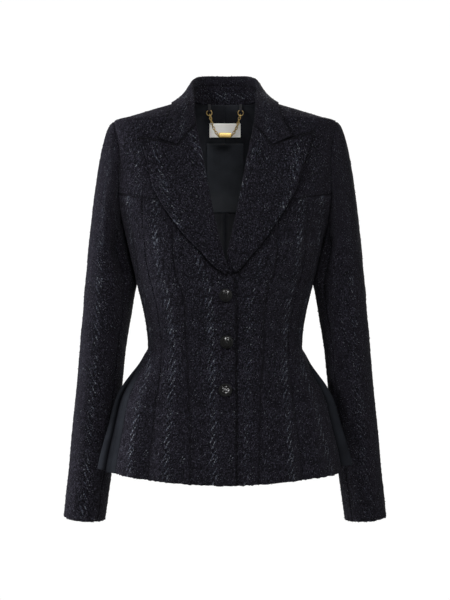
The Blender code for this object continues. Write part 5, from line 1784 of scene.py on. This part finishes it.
def yarn_loops():
    """Loops and frayed ends of yarn over all the tweed, thickest along its free edges."""
    points, faces, fray, count = [], [], [], 0
    for thing in bpy.data.objects:
        if not thing.name.endswith("_tweed"):
            continue
        mesh = thing.data
        place = np.empty(len(mesh.vertices) * 3, np.float32)
        mesh.vertices.foreach_get("co", place)
        mark = np.empty(len(mesh.vertices), np.float32)
        mesh.attributes["fray"].data.foreach_get("value", mark)
        corner = np.empty(len(mesh.loops), np.int32)
        mesh.loops.foreach_get("vertex_index", corner)
        corner = corner.reshape(-1, 4)
        points.append(place.reshape(-1, 3))
        faces.append(corner[(mark[corner] > 0).all(1)] + count)
        fray.append(mark)
        count += len(mark)
    mesh = bpy.data.meshes.new("frayed_cloth")
    mesh.from_pydata(np.concatenate(points).tolist(), [], np.concatenate(faces).tolist())
    mesh.attributes.new("fray", "FLOAT", "POINT").data.foreach_set("value", np.concatenate(fray))
    values = {"Density": LOOPS, "Radius": LOOP_RADIUS * MM, "Yarn": LOOP_YARN * MM, "Seed": SEED,
              "Finish": material_of("boucle_yarn")}
    piece = finished_mesh("tweed_yarn_loops", link_object("frayed_cloth", mesh), loop_tree(), values)
    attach(piece, "jacket")


def stitch_tree():
    """Short stitches one after another along a line."""
    tree, given = geometry_tree("label_stitches", {"Pitch": "Float", "Length": "Float", "Thread": "Float",
                                                   "Finish": "Material"})
    points, facing = along_line(tree, given)
    bead = add(tree, "GeometryNodeMeshUVSphere", {"Segments": 6, "Rings": 4, "Radius": 0.5})["Mesh"]
    size = add(tree, "ShaderNodeCombineXYZ",
               {"X": given["Length"], "Y": given["Thread"], "Z": given["Thread"]})["Vector"]
    stitch = add(tree, "GeometryNodeTransform", {"Geometry": bead, "Scale": size})["Geometry"]
    row = add(tree, "GeometryNodeInstanceOnPoints",
              {"Points": points, "Instance": stitch, "Rotation": facing})["Instances"]
    return end_tree(tree, row, given["Finish"])


def label_stitches(node, lines, finish, tree):
    """Rows of stitches that hold a label, along lines on its face."""
    values = {"Pitch": STITCH_PITCH * MM, "Length": STITCH_LENGTH * MM, "Thread": STITCH_THREAD * MM,
              "Finish": material_of(finish)}
    piece = finished_mesh(node + "_stitches", line_object(node + "_line", lines), tree, values)
    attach(piece, "jacket")


def hanger_chain(side, tree):
    """A length of chain from a ring down to the plate."""
    sign = SIDES[side]
    start = np.array((sign * (HANGER_REACH - CHAIN_TOP_IN), HANGER_Y,
                      HANGER_Z - 2 * RING_RADIUS - CHAIN_TOP_DROP))
    end = np.array((sign * (PLATE_HALF_WIDTH + CHAIN_END_OUT), HANGER_Y, PLATE_Z + CHAIN_END_UP))
    shares = np.linspace(0, 1, CHAIN_POINTS)[:, None]
    sag = np.array((sign * CHAIN_SAG, 0, -CHAIN_SAG)) * np.sin(math.pi * shares)
    line = start + (end - start) * shares + sag
    node = "hanger_chain_" + side
    values = {"Pitch": (LINK_LENGTH - 4 * LINK_WIRE) * MM, "Length": (LINK_LENGTH - 2 * LINK_WIRE) * MM,
              "Width": (LINK_WIDTH - 2 * LINK_WIRE) * MM, "Wire": LINK_WIRE * MM,
              "Finish": material_of("gold_plated_brass")}
    piece = finished_mesh(node + "_links", line_object(node + "_line", (line,)), tree, values)
    stand_for(piece, node, "hanger")


def hanger_plate():
    """A small plain plate with rounded corners and a soft edge."""
    turns = (np.arange(PLATE_POINTS) + 0.5) * 2 * math.pi / PLATE_POINTS
    rows = []
    for y, inset in PLATE_CROWN:
        corner = PLATE_CORNER - min(inset, PLATE_CORNER - PLATE_LEAST_CORNER)
        x = np.sign(np.cos(turns)) * (PLATE_HALF_WIDTH - inset - corner) + corner * np.cos(turns)
        z = np.sign(np.sin(turns)) * (PLATE_HALF_HEIGHT - inset - corner) + corner * np.sin(turns)
        rows.append(np.stack([x, np.full(PLATE_POINTS, HANGER_Y + y * PLATE_THICK), PLATE_Z + z], -1))
    piece = grid_mesh("hanger_plate_gold", np.array(rows), "gold_plated_brass", caps=True)
    stand_for(piece, "hanger_plate", "hanger")


def hanger_tab(side):
    """A strip of woven tape folded round its ring, its two ends sewn into the neck seam."""
    middle = TAB_HOLE + TAB_WALL / 2
    turns = np.linspace(*np.radians(TAB_FOLD_TURNS), TAB_FOLD_POINTS)
    loop = np.stack([middle * np.cos(turns), middle * np.sin(turns)], -1)
    tail = np.array([(loop[-1, 0] * share, z) for share, z in zip(TAB_TAIL_NARROWS, TAB_TAIL_HEIGHTS)])
    path = np.concatenate([tail[::-1] * (-1, 1), loop, tail])
    path[:, 0] += TAB_LEAN * np.maximum(0, path[:, 1] / TAB_HEIGHT)
    normal = np.stack([np.gradient(path[:, 1]), -np.gradient(path[:, 0])], -1)
    normal = unit(normal) * TAB_WALL * TAB_WALL_SHARE
    widths = np.linspace(-TAB_HALF_WIDTH, TAB_HALF_WIDTH, TAB_POINTS_ACROSS)
    sheets = []
    for sign in (1, -1):
        y, z = (path + sign * normal).T[..., None]
        grid = np.broadcast_arrays(HANGER_REACH + widths[None, :], HANGER_Y + y, HANGER_Z + z)
        sheets.append(np.stack(grid, -1))
    outer, inner = sheets
    node = "hanger_tab_" + side
    piece = shell(node + "_tape", outer, inner, cut_of(outer), ("black_woven_tape",), SIDES[side])
    stand_for(piece, node, "jacket")


def stage():
    """A round white floor under the jacket, and lit white paper all round, seen but giving no light."""
    turns = whole_turn(STAGE_POINTS)
    ring = np.stack([np.cos(turns), np.sin(turns), np.ones(STAGE_POINTS)], -1)
    rows = [ring * (radius, radius, FLOOR_Z) / MM for radius in FLOOR_RINGS]
    floor = grid_mesh("floor", np.array(rows), "matt_white_floor")
    floor.visible_glossy = False
    rows = [ring * (math.cos(rise), math.cos(rise), math.sin(rise)) for rise in np.linspace(*BACKDROP_RISES)]
    backdrop = grid_mesh("backdrop", np.array(rows) * BACKDROP_RADIUS / MM, "lit_white_paper")
    backdrop.visible_diffuse = backdrop.visible_glossy = backdrop.visible_shadow = False
    backdrop.visible_transmission = backdrop.visible_volume_scatter = False


def light(name, place, target, size, power, glossy):
    """A large soft panel of light aimed at a point, mirrored in glossy things or not."""
    data = bpy.data.lights.new(name, "AREA")
    data.shape = "RECTANGLE"
    data.size, data.size_y = size
    data.energy = power
    thing = link_object(name, data)
    way = np.array(target, float) - place
    flat = math.hypot(way[0], way[1])
    thing.location = place
    thing.rotation_euler = (math.atan2(flat, -way[2]), 0.0, math.atan2(-way[0], way[1]))
    thing.visible_glossy = glossy


def studio():
    """The room's even light, and the panels."""
    world = bpy.data.worlds.new("studio")
    bpy.context.scene.world = world
    world.use_nodes = True
    air = world.node_tree.nodes["Background"]
    air.inputs["Color"].default_value = (1.0, 1.0, 1.0, 1.0)
    air.inputs["Strength"].default_value = AIR_STRENGTH
    for row in LIGHT_ROWS:
        light(*row)


def set_camera():
    data = bpy.data.cameras.new("camera")
    data.lens = CAMERA_LENS
    data.sensor_width = CAMERA_SENSOR
    camera = link_object("camera", data)
    camera.location = CAMERA_PLACE
    camera.rotation_euler = (math.pi / 2, 0, 0)
    bpy.context.scene.camera = camera
    bpy.context.scene.view_settings.view_transform = "Standard"


set_camera()
make_materials()
chain = chain_tree()
for side_name in SIDES:
    body_panels(side_name)
    sleeves(side_name)
    side_insert(side_name)
    lapel(side_name)
    lining(side_name)
    hanger_tab(side_name)
    hanger_ring(side_name)
    hanger_chain(side_name, chain)
collar()
stitches = stitch_tree()
face = label("label_white", "white_woven_label")
label_stitches("label_white", (face[1:-1, 1], face[1:-1, -2]), "white_thread", stitches)
face = label("label_dark", "dark_satin_label")
label_stitches("label_dark", (face[1, 1:-1], face[-2, 1:-1]), "black_thread", stitches)
hanger_plate()
for button_name in BUTTON_ROWS:
    button(button_name)
yarn_loops()
stage()
studio()
